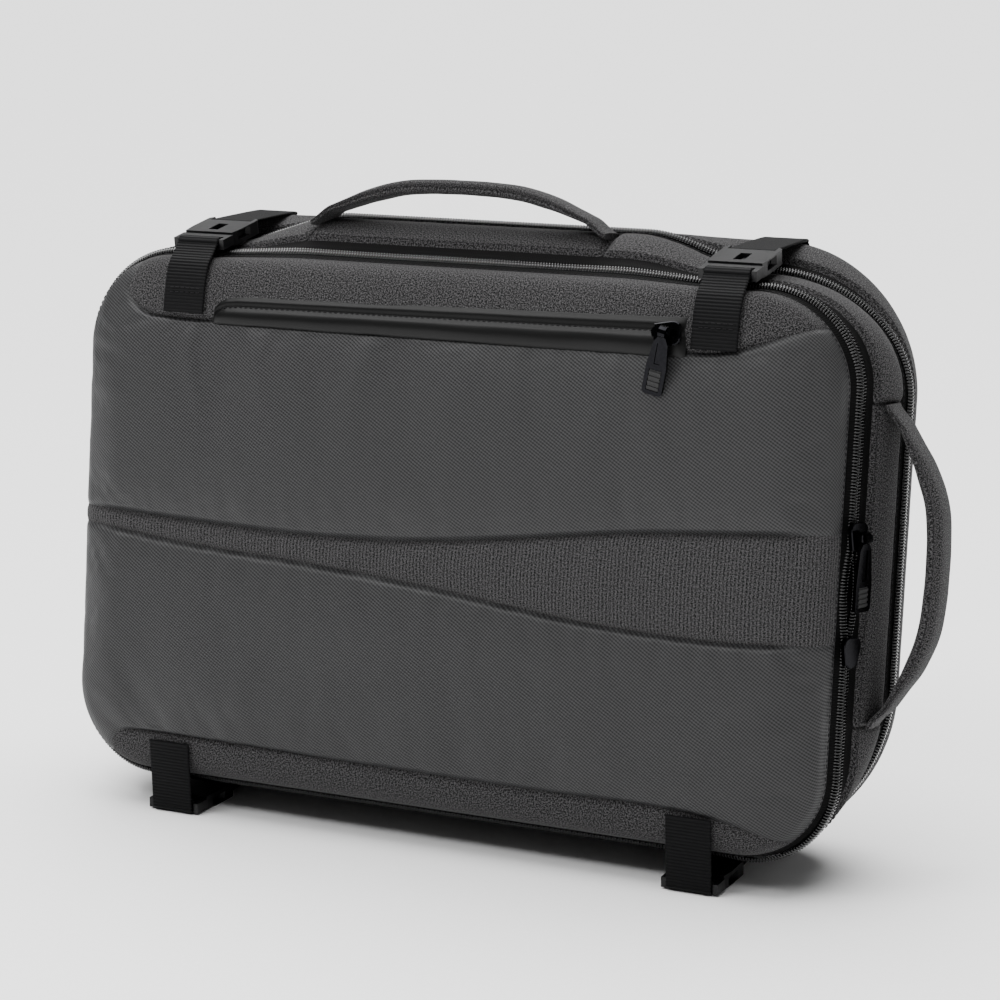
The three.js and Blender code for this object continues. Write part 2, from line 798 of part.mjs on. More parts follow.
function buckleSocket() {
  const start = plugBase + gap;
  const cavity = buckleWidth - 2 * buckleSideWall;
  const prongRoom = prongThick + 2 * gap;
  const chamber = prongLength + prongEndRoom;
  const outline = new THREE.Shape();
  const half = buckleWidth / 2;
  const soft = buckleSocketRound;
  outline.moveTo(-half + mouthTaper, 0);
  outline.lineTo(half - mouthTaper, 0);
  outline.lineTo(half, mouthLength);
  outline.lineTo(half, socketLength - soft);
  outline.absarc(half - soft, socketLength - soft, soft, 0, Math.PI / 2);
  outline.absarc(-half + soft, socketLength - soft, soft, Math.PI / 2, Math.PI);
  outline.lineTo(-half, mouthLength);
  const block = new THREE.ExtrudeGeometry(outline, {
    depth: buckleThick,
    bevelEnabled: false,
    curveSegments: 3,
  });
  block.translate(0, start, -buckleThick / 2);
  const window = boxSolid(
    new THREE.Vector3(-windowWidth / 2, start + windowStart, 0),
    new THREE.Vector3(windowWidth / 2, start + windowStart + windowLength, buckleThick),
  );
  const hollow = boxSolid(
    new THREE.Vector3(-cavity / 2, start - 1, -prongRoom / 2),
    new THREE.Vector3(cavity / 2, start + chamber, prongRoom / 2),
  );
  const sideWindow = (side) => {
    const cut = new THREE.CylinderGeometry(1, 1, thumbOpening.high, 8);
    cut.rotateX(Math.PI / 2);
    cut.scale(thumbOpening.reach, thumbOpening.long / 2, 1);
    cut.translate(side * half, start + thumbOpening.middle, thumbOpening.lift);
    return toSolid(cut);
  };
  return toSolid(block)
    .subtract(hollow)
    .subtract(window)
    .subtract(sideWindow(1))
    .subtract(sideWindow(-1))
    .subtract(barSlot(socketBarPlace, -1))
    .add(endBar(socketBarPlace));
}

// Side view of a buckle: from its plug edge it runs back along a tilt
function buckleLine(start, tilt) {
  const along = new THREE.Vector2(Math.cos(tilt), Math.sin(tilt));
  const at = (distance) => start.clone().addScaledVector(along, distance);
  return { start, tilt, plugBar: at(plugBarPlace), socketBar: at(socketBarPlace) };
}

// Height of the upper or lower edge of the body's section at an x
function edgeHeight(x, run, upper) {
  const section = sectionAt(run);
  const radius = upper ? section.cornerTop : section.cornerBase;
  const past = Math.max(0, Math.abs(x) - (section.halfWidth - radius));
  const round = radius - Math.sqrt(Math.max(0, radius * radius - past * past));
  if (upper) {
    return section.high - round - section.dip * smoothstep(Math.abs(x), dipStart, dipEnd);
  }
  return section.low + round;
}

// Side view point of the body at an x, moved out by an offset
function profilePoint(x, run, upper, offset) {
  const step = 0.05;
  const at = (place) => new THREE.Vector2(sectionAt(place).depth, edgeHeight(x, place, upper));
  const along = at(run + step).sub(at(run - step)).normalize();
  const turn = upper ? 1 : -1;
  return at(run).add(new THREE.Vector2(-along.y * turn, along.x * turn).multiplyScalar(offset));
}

// Front run at which the body's edge comes to a height
function faceRun(x, z, upper) {
  let near = 0;
  let far = frontRows.length - 1;
  for (let step = 0; step < halvings; step += 1) {
    const middle = (near + far) / 2;
    const height = edgeHeight(x, -middle, upper);
    if (upper ? height > z : height < z) {
      near = middle;
    } else {
      far = middle;
    }
  }
  return -near;
}

// Height of a seam at an x
function seamHeight(rows, x) {
  const points = seamPoints(rows, 0);
  const next = points.findIndex((point, index) => index > 0 && point.x >= x && points[index - 1].x < x);
  const before = points[next - 1];
  const after = points[next];
  return lerp(before.y, after.y, (x - before.x) / (after.x - before.x));
}

// Side view point of the leaning bag as it stands on the floor
function standingPoint(point) {
  const back = point.x - leanPivot;
  return new THREE.Vector2(
    leanPivot + back * Math.cos(leanAngle) + point.y * Math.sin(leanAngle),
    -back * Math.sin(leanAngle) + point.y * Math.cos(leanAngle) - settle,
  );
}

const webSeat = rest + webThick / 2;
const loopMiddle = barRadius + gap + webThick / 2;

function onLoop(bar, angle) {
  return new THREE.Vector2(bar.x + loopMiddle * Math.cos(angle), bar.y + loopMiddle * Math.sin(angle));
}

const topBuckle = buckleLine(
  new THREE.Vector2(
    topBuckleStart,
    edgeHeight(strapCentre, 0, true) +
      coilHeight +
      buckleRest +
      buckleThick / 2 / Math.cos(buckleTilt) +
      topBuckleStart * Math.tan(buckleTilt),
  ),
  buckleTilt,
);

// Webbing from the top seam of the front panel up to the plug bar
function topFrontWebbing() {
  const seamRun = faceRun(strapCentre, seamHeight(topSeam, strapCentre) + seamInset, true);
  const path = [0, 0.25, 0.5, 0.75, 1].map((share) =>
    profilePoint(strapCentre, lerp(seamRun, topWebLastRun, share), true, webSeat),
  );
  path.push(onLoop(topBuckle.plugBar, degToRad(170)));
  return loopedWebbing(path, topBuckle.plugBar);
}

// Webbing from the socket bar over the crown to the seam of the back panel
function topRearWebbing() {
  const path = [onLoop(topBuckle.socketBar, degToRad(80))];
  for (const run of rearWebRuns) {
    path.push(profilePoint(strapCentre, run, true, webSeat + gap));
  }
  return loopedWebbing(path, topBuckle.socketBar);
}

const baseSeamRun = faceRun(strapCentre, seamHeight(baseSeam, strapCentre) - seamInset, false);
const baseWebTop = standingPoint(profilePoint(strapCentre, baseSeamRun, false, webSeat));
const baseBuckle = buckleLine(new THREE.Vector2(baseWebTop.x + baseBuckleSetback, buckleThick / 2), 0);

// Webbing that hangs from the lower seam of the front panel to the plug bar on the floor
function baseFrontWebbing() {
  const bar = baseBuckle.plugBar;
  const side = bar.x - loopMiddle;
  const path = [
    baseWebTop,
    new THREE.Vector2(lerp(baseWebTop.x, side, 0.35), lerp(baseWebTop.y, bar.y, 0.35)),
    new THREE.Vector2(lerp(baseWebTop.x, side, 0.8), lerp(baseWebTop.y, bar.y, 0.7)),
    new THREE.Vector2(side, bar.y),
  ];
  return loopedWebbing(path, bar);
}

// Webbing from the socket bar under the bag to the seam behind the rear zip
function baseRearWebbing() {
  const endRun = runAtDepth(rearZipDepth + rearTape / 2 + seamInset);
  const end = standingPoint(profilePoint(strapCentre, endRun, false, webSeat + gap));
  const path = [onLoop(baseBuckle.socketBar, degToRad(-70)), end];
  return loopedWebbing(path, baseBuckle.socketBar);
}

// Zip slider. Local frame: X across the zip, Y along it, Z outward.
const plateTop = coilHeight + plateHeight;

function sliderSolid() {
  const outline = new THREE.Shape();
  const half = sliderWidth / 2;
  const end = sliderLength / 2;
  outline.moveTo(-half, end * 0.35);
  outline.lineTo(-half * 0.7, -end * 0.9);
  outline.absarc(0, -end + half * 0.45, half * 0.6, Math.PI * 1.15, Math.PI * 1.85);
  outline.lineTo(half * 0.7, -end * 0.9);
  outline.lineTo(half, end * 0.35);
  outline.absarc(half * 0.45, end - half * 0.55, half * 0.55, 0, Math.PI / 2);
  outline.absarc(-half * 0.45, end - half * 0.55, half * 0.55, Math.PI / 2, Math.PI);
  const plate = new THREE.ExtrudeGeometry(outline, {
    depth: plateTop - sliderSeat - 2 * sliderBevel,
    bevelEnabled: true,
    bevelThickness: sliderBevel,
    bevelSize: sliderBevel,
    bevelSegments: 1,
    curveSegments: 2,
  });
  plate.translate(0, 0, sliderSeat + sliderBevel);
  const channelHalf = coilWidth / 2 + 2 * gap;
  const channel = boxSolid(
    new THREE.Vector3(-channelHalf, -sliderLength, -1),
    new THREE.Vector3(channelHalf, sliderLength, coilHeight + 2 * gap),
  );
  return toSolid(plate).subtract(channel);
}

// Two lugs and a pin on the slider's plate, turned across or along the zip
function sliderBail(pinTurn) {
  const pin = new THREE.CylinderGeometry(pinRadius, pinRadius, pinSpan + lugWall, 8);
  pin.rotateZ(Math.PI / 2 + pinTurn);
  pin.translate(0, 0, barHeight);
  let bail = toSolid(pin);
  const foot = plateTop - sliderBevel;
  for (const side of [-1, 1]) {
    const lug = new THREE.BoxGeometry(lugWall, 2 * lugReach, barHeight + lugCap - foot);
    lug.translate((side * (pinSpan + lugWall)) / 2, 0, (barHeight + lugCap + foot) / 2);
    lug.rotateZ(pinTurn);
    bail = bail.add(toSolid(lug));
  }
  return bail;
}

// Zip pull. Local frame: X along the pin, the pull hangs down -Y, Z outward.
const eyeHole = pinRadius + pinPlay;
const eyeRadius = eyeHole + eyeWall;
const eyeWidth = pinSpan - 2 * eyePlay;

function pullSolid(length) {
  const outline = new THREE.Shape();
  const wide = pullWidth / 2;
  const narrow = eyeWidth / 2;
  outline.moveTo(-narrow, -eyeHole - 0.4);
  outline.lineTo(narrow, -eyeHole - 0.4);
  outline.lineTo(wide * 0.72, -eyeRadius - pullShoulder);
  outline.lineTo(wide, -length + gripLength + 2 * pullRim);
  outline.lineTo(wide, -length + pullCorner);
  outline.absarc(wide - pullCorner, -length + pullCorner, pullCorner, 0, -Math.PI / 2, true);
  outline.absarc(-wide + pullCorner, -length + pullCorner, pullCorner, -Math.PI / 2, -Math.PI, true);
  outline.lineTo(-wide, -length + gripLength + 2 * pullRim);
  outline.lineTo(-wide * 0.72, -eyeRadius - pullShoulder);
  const plate = new THREE.ExtrudeGeometry(outline, {
    depth: pullThick,
    bevelEnabled: false,
    curveSegments: 3,
  });
  plate.translate(0, 0, -pullThick / 2);
  const window = boxSolid(
    new THREE.Vector3(-wide + pullRim, -length + pullRim, -pullThick),
    new THREE.Vector3(wide - pullRim, -length + pullRim + gripLength, pullThick),
  );
  const groove = boxSolid(
    new THREE.Vector3(-wide * 0.3, -length + gripLength + 2 * pullRim + 1, pullThick * 0.2),
    new THREE.Vector3(wide * 0.3, -eyeRadius - pullShoulder, pullThick),
  );
  const ring = new THREE.Shape().absarc(0, 0, eyeRadius, 0, Math.PI * 2);
  ring.holes.push(new THREE.Path().absarc(0, 0, eyeHole, 0, Math.PI * 2));
  const eye = new THREE.ExtrudeGeometry(ring, { depth: eyeWidth, bevelEnabled: false, curveSegments: 5 });
  eye.rotateY(Math.PI / 2);
  eye.translate(-eyeWidth / 2, 0, 0);
  return toSolid(plate).subtract(window).subtract(groove).add(toSolid(eye));
}

function gripSolid(length) {
  const wide = pullWidth / 2 - pullRim - gap;
  const low = -length + pullRim + gap;
  const core = pullThick * 0.35;
  let grip = boxSolid(
    new THREE.Vector3(-wide, low, -core),
    new THREE.Vector3(wide, low + gripLength - 2 * gap, core),
  );
  for (let rib = 0; rib < gripRibs; rib += 1) {
    const middle = low + ((rib + 0.5) * (gripLength - 2 * gap)) / gripRibs;
    grip = grip.add(
      boxSolid(
        new THREE.Vector3(-wide, middle - gripRibWidth / 2, -pullThick * 0.6),
        new THREE.Vector3(wide, middle + gripRibWidth / 2, pullThick * 0.6),
      ),
    );
  }
  return grip;
}

// Frame of a point on the body: across, along and outward as a matrix
function frameMatrix(across, along, outward, origin) {
  return new THREE.Matrix4().makeBasis(across, along, outward).setPosition(origin);
}

// Place on the upper edge of a section at an x, away from its corners
function topPlaceAt(x, run) {
  const section = sectionAt(run);
  const straight = section.halfWidth - section.cornerTop;
  return { edge: 2, share: (straight - x) / (2 * straight), onCorner: false };
}

// Place on the right side of a section at a height, away from its corners
function sidePlaceAt(z, run) {
  const section = sectionAt(run);
  const low = section.low + section.cornerBase;
  const high = section.high - section.cornerTop;
  return { edge: 1, share: (z - low) / (high - low), onCorner: false };
}

function pocketSliderFrame() {
  const height = seamHeight(topSeam, pocketSliderPlace) + pocketSliderRise;
  const run = faceRun(pocketSliderPlace, height, true);
  const place = topPlaceAt(pocketSliderPlace, run);
  const outward = bodyNormal(place, run);
  const origin = bodyPoint(place, run).addScaledVector(outward, weltSwell + gap);
  const across = new THREE.Vector3(1, 0, 0).cross(outward).normalize();
  const along = new THREE.Vector3().crossVectors(outward, across);
  return frameMatrix(across, along, outward, origin);
}

function mainSliderFrame(z) {
  const place = sidePlaceAt(z, 0);
  const outward = bodyNormal(place, 0);
  const origin = bodyPoint(place, 0).addScaledVector(outward, sliderLift);
  const along = new THREE.Vector3(0, 0, 1);
  const across = new THREE.Vector3().crossVectors(along, outward).normalize();
  return frameMatrix(across, along, outward, origin);
}

function pocketPullFrame() {
  const slider = pocketSliderFrame();
  const pin = new THREE.Vector3(0, 0, barHeight).applyMatrix4(slider);
  const tipX = pin.x - pocketPullLength * Math.sin(pocketPullSwing);
  const tipZ = pin.z - pocketPullLength * Math.cos(pocketPullSwing);
  const run = faceRun(tipX, tipZ, true);
  const tip = new THREE.Vector3(tipX, sectionAt(run).depth - rest - pullThick / 2 - 0.6, tipZ);
  const along = new THREE.Vector3().subVectors(pin, tip).normalize();
  const forward = new THREE.Vector3(0, -1, 0);
  const hinge = new THREE.Vector3().crossVectors(along, forward).normalize();
  const outward = new THREE.Vector3().crossVectors(hinge, along);
  return frameMatrix(hinge, along, outward, pin);
}

function mainPullFrame() {
  const slider = mainSliderFrame(upperSliderPlace);
  const pin = new THREE.Vector3(0, 0, barHeight).applyMatrix4(slider);
  const face = new THREE.Vector3().setFromMatrixColumn(slider, 2);
  const plumb = new THREE.Vector3(0, Math.sin(leanAngle), -Math.cos(leanAngle));
  const tip = pin.clone().addScaledVector(plumb, mainPullLength);
  const swing = barHeight - coilHeight - pullThick / 2 - rest - mainPullLift;
  tip.addScaledVector(face, -swing);
  const along = new THREE.Vector3().subVectors(pin, tip).normalize();
  const hinge = new THREE.Vector3().crossVectors(along, face).normalize();
  const outward = new THREE.Vector3().crossVectors(hinge, along);
  return frameMatrix(hinge, along, outward, pin);
}

// Assembly: what leans with the bag, and what stands level on the floor
const bag = new THREE.Group();
bag.name = 'convertible_backpack';
const leaning = new THREE.Group();
leaning.rotation.x = -leanAngle;
const pivot = new THREE.Vector3(0, leanPivot, -settle);
leaning.position.copy(pivot).sub(new THREE.Vector3(0, leanPivot, 0).applyEuler(leaning.rotation));
const level = new THREE.Group();
bag.add(leaning, level);

function addPiece(parent, name, geometry, material, matrix = null) {
  const mesh = new THREE.Mesh(geometry, material);
  mesh.name = name;
  if (matrix) {
    mesh.applyMatrix4(matrix);
  }
  parent.add(mesh);
}

const frontMaterials = {
  front_top_band: materials.melange,
  front_panel_upper: materials.twill,
  front_inset: materials.melange,
  front_panel_lower: materials.twill,
  front_bottom_band: materials.melange,
  pocket_welt: materials.welt,
};
for (const [name, solid] of Object.entries(frontPieces())) {
  addPiece(leaning, name, toGeometry(solid), frontMaterials[name]);
}
for (const [name, solid] of Object.entries(gussetPieces())) {
  addPiece(leaning, name, toGeometry(solid), materials.melange);
}
addPiece(leaning, 'main_zip', zipRing(0, mainTape), materials.tape);
addPiece(leaning, 'rear_zip', zipRing(rearZipDepth, rearTape), materials.tape);

// The rear shell rests on the floor, which flattens the cloth along its lower edge
leaning.updateMatrixWorld(true);
const floorBox = new THREE.BoxGeometry(2 * zipLength, 4 * rearDepth, 40);
floorBox.translate(0, 0, -20);
floorBox.applyMatrix4(leaning.matrixWorld.clone().invert());
const rearShell = toSolid(ringWall([rearStart, ...rearShellRuns, backSeam - backSeamGap]));
addPiece(leaning, 'rear_shell', toGeometry(rearShell.subtract(toSolid(floorBox))), materials.melange);
addPiece(leaning, 'back_panel', cupGeometry(backSeam + backSeamGap, backPanelRuns, 0), materials.backCloth);
addPiece(leaning, 'top_handle', topHandle(), materials.melange);
addPiece(leaning, 'side_handle', sideHandle(), materials.melange);

const topWebs = { front: topFrontWebbing(), rear: topRearWebbing() };
const baseWebs = { front: baseFrontWebbing(), rear: baseRearWebbing() };
const plug = toGeometry(bucklePlug());
const socket = toGeometry(buckleSocket());
const buckleBasis = (across, tilt, flip) =>
  frameMatrix(
    new THREE.Vector3(flip, 0, 0),
    new THREE.Vector3(0, Math.cos(tilt), Math.sin(tilt)),
    new THREE.Vector3(0, -Math.sin(tilt), Math.cos(tilt)).multiplyScalar(flip),
    new THREE.Vector3(0, 0, 0),
  ).setPosition(across);
for (const [side, sign] of [['left', -1], ['right', 1]]) {
  const x = sign * strapCentre;
  const shift = new THREE.Matrix4().makeTranslation(x, 0, 0);
  const topPlace = new THREE.Vector3(x, topBuckle.start.x, topBuckle.start.y);
  const basePlace = new THREE.Vector3(x, baseBuckle.start.x, baseBuckle.start.y);
  const rows = [
    [leaning, 'top', topWebs, buckleBasis(topPlace, buckleTilt, 1)],
    [level, 'base', baseWebs, buckleBasis(basePlace, 0, -1)],
  ];
  for (const [parent, edge, webs, basis] of rows) {
    addPiece(parent, `front_webbing_${edge}_${side}`, toGeometry(webs.front), materials.webbing, shift);
    addPiece(parent, `rear_webbing_${edge}_${side}`, toGeometry(webs.rear), materials.webbing, shift);
    addPiece(parent, `buckle_plug_${edge}_${side}`, plug, materials.acetal, basis);
    addPiece(parent, `buckle_socket_${edge}_${side}`, socket, materials.acetal, basis);
  }
}

const pocketSlider = toGeometry(sliderSolid().add(sliderBail(Math.PI / 2)));
const upperSlider = toGeometry(sliderSolid().add(sliderBail(0)));
const lowerSlider = toGeometry(sliderSolid());
const pocketPlace = pocketSliderFrame();
const pocketPullPlace = pocketPullFrame();
const mainPullPlace = mainPullFrame();
const upperPlace = mainSliderFrame(upperSliderPlace);
const lowerPlace = mainSliderFrame(lowerSliderPlace);
addPiece(leaning, 'pocket_slider', pocketSlider, materials.zinc, pocketPlace);
addPiece(leaning, 'pocket_pull', toGeometry(pullSolid(pocketPullLength)), materials.zinc, pocketPullPlace);
addPiece(
  leaning,
  'pocket_pull_grip',
  toGeometry(gripSolid(pocketPullLength)),
  materials.rubber,
  pocketPullPlace,
);
addPiece(leaning, 'main_slider_upper', upperSlider, materials.zinc, upperPlace);
addPiece(leaning, 'main_slider_lower', lowerSlider, materials.zinc, lowerPlace);
addPiece(leaning, 'main_pull', toGeometry(pullSolid(mainPullLength)), materials.zinc, mainPullPlace);
addPiece(leaning, 'main_pull_grip', toGeometry(gripSolid(mainPullLength)), materials.rubber, mainPullPlace);

// The origin is on the floor under the middle of the bag
const bounds = new THREE.Box3().setFromObject(bag, true);
const middle = bounds.getCenter(new THREE.Vector3());
bag.position.set(-middle.x, -middle.y, 0);

export default bag;
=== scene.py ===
"""Convertible backpack: its cloth, zips, webbing, handles and finishes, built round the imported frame.

Lengths of the bag are in millimetres, in the bag's own frame: x along the main zip's long side,
y back from the main zip, z up from its lower edge. stand() leans the bag back, puts it in the
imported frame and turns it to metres.
"""

import math
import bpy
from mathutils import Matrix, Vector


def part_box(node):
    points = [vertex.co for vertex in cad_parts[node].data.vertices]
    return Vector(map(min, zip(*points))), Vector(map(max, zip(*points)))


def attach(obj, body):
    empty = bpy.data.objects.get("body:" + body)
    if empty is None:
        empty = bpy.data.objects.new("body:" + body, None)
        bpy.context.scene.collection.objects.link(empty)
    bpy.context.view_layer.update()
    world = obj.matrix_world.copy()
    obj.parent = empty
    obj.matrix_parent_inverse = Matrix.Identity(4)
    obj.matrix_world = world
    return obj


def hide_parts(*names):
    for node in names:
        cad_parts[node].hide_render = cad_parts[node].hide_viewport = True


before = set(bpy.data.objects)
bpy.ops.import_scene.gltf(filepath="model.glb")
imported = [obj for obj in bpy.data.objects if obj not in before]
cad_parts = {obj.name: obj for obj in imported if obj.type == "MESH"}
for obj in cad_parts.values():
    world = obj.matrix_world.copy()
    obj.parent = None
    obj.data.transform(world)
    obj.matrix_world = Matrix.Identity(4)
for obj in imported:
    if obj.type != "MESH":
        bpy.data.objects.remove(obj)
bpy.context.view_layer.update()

import bmesh
import bpy
import numpy as np
from bpy.props import FloatProperty, FloatVectorProperty, PointerProperty
from mathutils import Matrix, Vector

bl_info = {
    "name": "Convertible backpack",
    "version": (1, 0, 0),
    "blender": (4, 5, 0),
    "location": "3D view, sidebar, Backpack",
    "description": "Cloth, zips, webbing and finishes of a convertible backpack",
    "category": "Object",
}

MM = 0.001
BODY = "bag"

# Bag body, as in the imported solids
ZIP_LENGTH = 444
ZIP_HEIGHT = 294
ZIP_RISE = 9
FRONT_DEPTH = 28
REAR_DEPTH = 95
SIDE_BULGE = 13
CROWN_BULGE = 20
BASE_BULGE = 9
STRAP_DIP = 16
DIP_START = 88
DIP_END = 158
ZIP_CORNER_TOP = 52
ZIP_CORNER_BASE = 46
REAR_CORNER_TOP = 78
REAR_CORNER_BASE = 92
LEAN_ANGLE = math.radians(6.5)
LEAN_PIVOT = 78
SETTLE = 1.1
DIP_FADE_ROWS = 4
DENT_START_ROW = 2.5
DENT_FULL_ROW = 5
HALF_LENGTH = ZIP_LENGTH / 2
HALF_HEIGHT = ZIP_HEIGHT / 2
ZIP_TOP = ZIP_RISE + ZIP_HEIGHT

# Zips
MAIN_TAPE = 21
REAR_TAPE = 19
REAR_ZIP_DEPTH = 42
TAPE_WALL = 1.4
COIL_WIDTH = 7
ZIP_SHOW = 7.8
COIL_HEIGHT = 2.2
UPPER_SLIDER_PLACE = 179
LOWER_SLIDER_PLACE = 121

# The main zip is a little open between its two sliders: half the gap, how far from each slider it
# starts, and how near the side's end it may be
OPEN_HALF_GAP = 3.2
OPEN_ABOVE_LOWER = 4
OPEN_BELOW_UPPER = 6
OPEN_SIDE_REACH = 30

# Teeth: length along the zip as a share of the pitch, and how deep they sit in the tape
TOOTH_SHARE = 0.74
TOOTH_SINK = 0.5

# Handles
TOP_HANDLE_LENGTH = 174
TOP_HANDLE_CENTRE = -11
TOP_HANDLE_LIFT = 17
SIDE_HANDLE_LENGTH = 164
SIDE_HANDLE_CENTRE = 163
SIDE_HANDLE_LIFT = 24
HANDLE_DEPTH = 21.5
HANDLE_SINK = 4.5
GRIP_WIDTH = 18
GRIP_THICK = 7
END_WIDTH = 21
END_THICK = 3.6

# The cloth of the grips is a little fuller than the solids: how much thicker and wider
TOP_GRIP_MORE_THICK = 0.8
SIDE_GRIP_MORE_WIDE = 5
SIDE_GRIP_MORE_THICK = 2.2
GRIP_SEAM_DEPTH = 1.3
HANDLE_SINK_SHARE = 0.07

# Compression straps and buckles
STRAP_CENTRE = 153
WEB_WIDTH = 25
WEB_THICK = 1.5
BUCKLE_THICK = 7.6
SOCKET_LENGTH = 30
PLUG_BASE = 11
BAR_RADIUS = 1.9
BUCKLE_TILT = math.radians(15)
BUCKLE_REST = 2.1
TOP_BUCKLE_START = -12
BASE_BUCKLE_SETBACK = 3
SEAM_INSET = 1
TOP_WEB_LAST_RUN = -3.2
REAR_WEB_FIRST_RUN = 4.9
REAR_WEB_LAST_RUN = 7.9

GAP = 0.3
REST = 0.7
FLOOR_GAP = 0.2
BACK_SEAM = 8.2

# Rows of the front shell: forward is a share of FRONT_DEPTH, inset of half the zip height
FRONT_ROWS = np.array(
    [
        (0.0, 0.0),
        (0.2, 0.006),
        (0.42, 0.018),
        (0.6, 0.035),
        (0.74, 0.075),
        (0.84, 0.16),
        (0.91, 0.33),
        (0.96, 0.6),
        (1.0, 0.88),
    ]
)

# Rows behind the main zip: depth, side, crown, base, round, dip, tuck, as shares
REAR_ROWS = np.array(
    [
        (0.0, 0.0, 0.0, 0.0, 0.0, 0.2, 0.0),
        (0.11, 0.5, 0.5, 0.22, 0.3, 0.65, 0.0),
        (0.26, 0.88, 0.9, 0.36, 0.7, 1.0, 0.0),
        (0.44, 1.0, 1.0, 0.45, 1.0, 1.0, 0.0),
        (0.6, 0.88, 1.0, 0.75, 1.0, 0.4, 0.0),
        (0.76, 0.5, 0.9, 1.0, 1.0, 0.0, 0.0),
        (0.88, 0.1, 0.6, 1.0, 1.0, 0.0, 0.04),
        (0.96, 0.0, 0.3, 0.6, 0.8, 0.0, 0.11),
        (1.0, 0.0, 0.0, 0.0, 0.5, 0.0, 0.22),
        (1.03, 0.0, 0.0, 0.0, 0.3, 0.0, 0.45),
        (1.04, 0.0, 0.0, 0.0, 0.2, 0.0, 0.88),
    ]
)

# Soft dents of the front panel: x, z, reach in x and z as shares of half the length and of the
# height, and how deep they sink as a share of FRONT_DEPTH
FRONT_DENTS = np.array(
    [
        (-0.62, 0.76, 0.07, 0.12, 0.07),
        (-0.12, 0.8, 0.16, 0.1, 0.06),
        (0.42, 0.77, 0.1, 0.1, 0.05),
        (-0.78, 0.22, 0.09, 0.16, 0.07),
        (0.55, 0.2, 0.1, 0.13, 0.06),
    ]
)

# Seams of the front shell: x as a share of half the zip length, z of the zip height
TOP_SEAM = np.array(
    [
        (-0.83, 1.06),
        (-0.855, 0.95),
        (-0.862, 0.912),
        (-0.81, 0.878),
        (-0.72, 0.869),
        (-0.4, 0.867),
        (0.2, 0.87),
        (0.62, 0.873),
        (0.73, 0.882),
        (0.8, 0.897),
        (0.96, 0.94),
        (1.1, 0.965),
    ]
)
INSET_TOP_SEAM = np.array(
    [
        (-1.1, 0.505),
        (-0.93, 0.503),
        (-0.667, 0.497),
        (-0.36, 0.493),
        (-0.16, 0.497),
        (0.0, 0.505),
        (0.2, 0.523),
        (0.47, 0.551),
        (0.67, 0.565),
        (0.97, 0.581),
        (1.1, 0.586),
    ]
)
INSET_BASE_SEAM = np.array(
    [
        (-1.1, 0.475),
        (-0.93, 0.47),
        (-0.667, 0.453),
        (-0.356, 0.442),
        (-0.158, 0.432),
        (0.036, 0.42),
        (0.2, 0.406),
        (0.41, 0.391),
        (0.617, 0.384),
        (0.8, 0.385),
        (1.1, 0.4),
    ]
)
BASE_SEAM = np.array(
    [
        (-0.9, -0.08),
        (-0.885, 0.03),
        (-0.865, 0.066),
        (-0.8, 0.086),
        (-0.5, 0.087),
        (-0.2, 0.083),
        (0.3, 0.081),
        (0.58, 0.083),
        (0.76, 0.072),
        (0.9, 0.045),
        (1.1, 0.01),
    ]
)

# Pocket welt: its lower edge, and its upper edge from the rounded left end to the slider
WELT_LEFT = -0.609
WELT_RIGHT = 0.621
WELT_BASE = 0.8615
WELT_TOP = np.array(
    [
        (-0.609, 0.88),
        (-0.605, 0.895),
        (-0.592, 0.905),
        (-0.572, 0.912),
        (-0.54, 0.915),
        (-0.1, 0.921),
        (0.3, 0.927),
        (0.6, 0.932),
        (0.621, 0.932),
    ]
)

# Shares of a handle from end to end: along, lift, and how far it is folded into a grip
HANDLE_ROWS = np.array(
    [
        (0.0, 0.0, 0.0),
        (0.05, 0.1, 0.05),
        (0.12, 0.36, 0.35),
        (0.2, 0.65, 0.8),
        (0.32, 0.93, 1.0),
        (0.5, 1.0, 1.0),
        (0.68, 0.92, 1.0),
        (0.8, 0.66, 0.8),
        (0.88, 0.38, 0.35),
        (0.95, 0.12, 0.05),
        (1.0, 0.0, 0.0),
    ]
)


def smoothstep(value, low, high):
    share = np.clip((value - low) / (high - low), 0, 1)
    return share * share * (3 - 2 * share)


def row_at(rows, place):
    """Smooth value of every column between the rows of a table."""
    place = np.asarray(place, float)
    last = len(rows) - 1
    held = np.clip(place, 0, last)
    index = np.minimum(held.astype(int), last - 1)
    share = (held - index)[..., None]
    near = [rows[np.clip(index + step, 0, last)] for step in (-1, 0, 1, 2)]
    slope_in = (near[2] - near[0]) / 2
    slope_out = (near[3] - near[1]) / 2
    square = share * share
    cube = square * share
    return (
        (2 * cube - 3 * square + 1) * near[1]
        + (cube - 2 * square + share) * slope_in
        + (3 * square - 2 * cube) * near[2]
        + (cube - square) * slope_out
    )


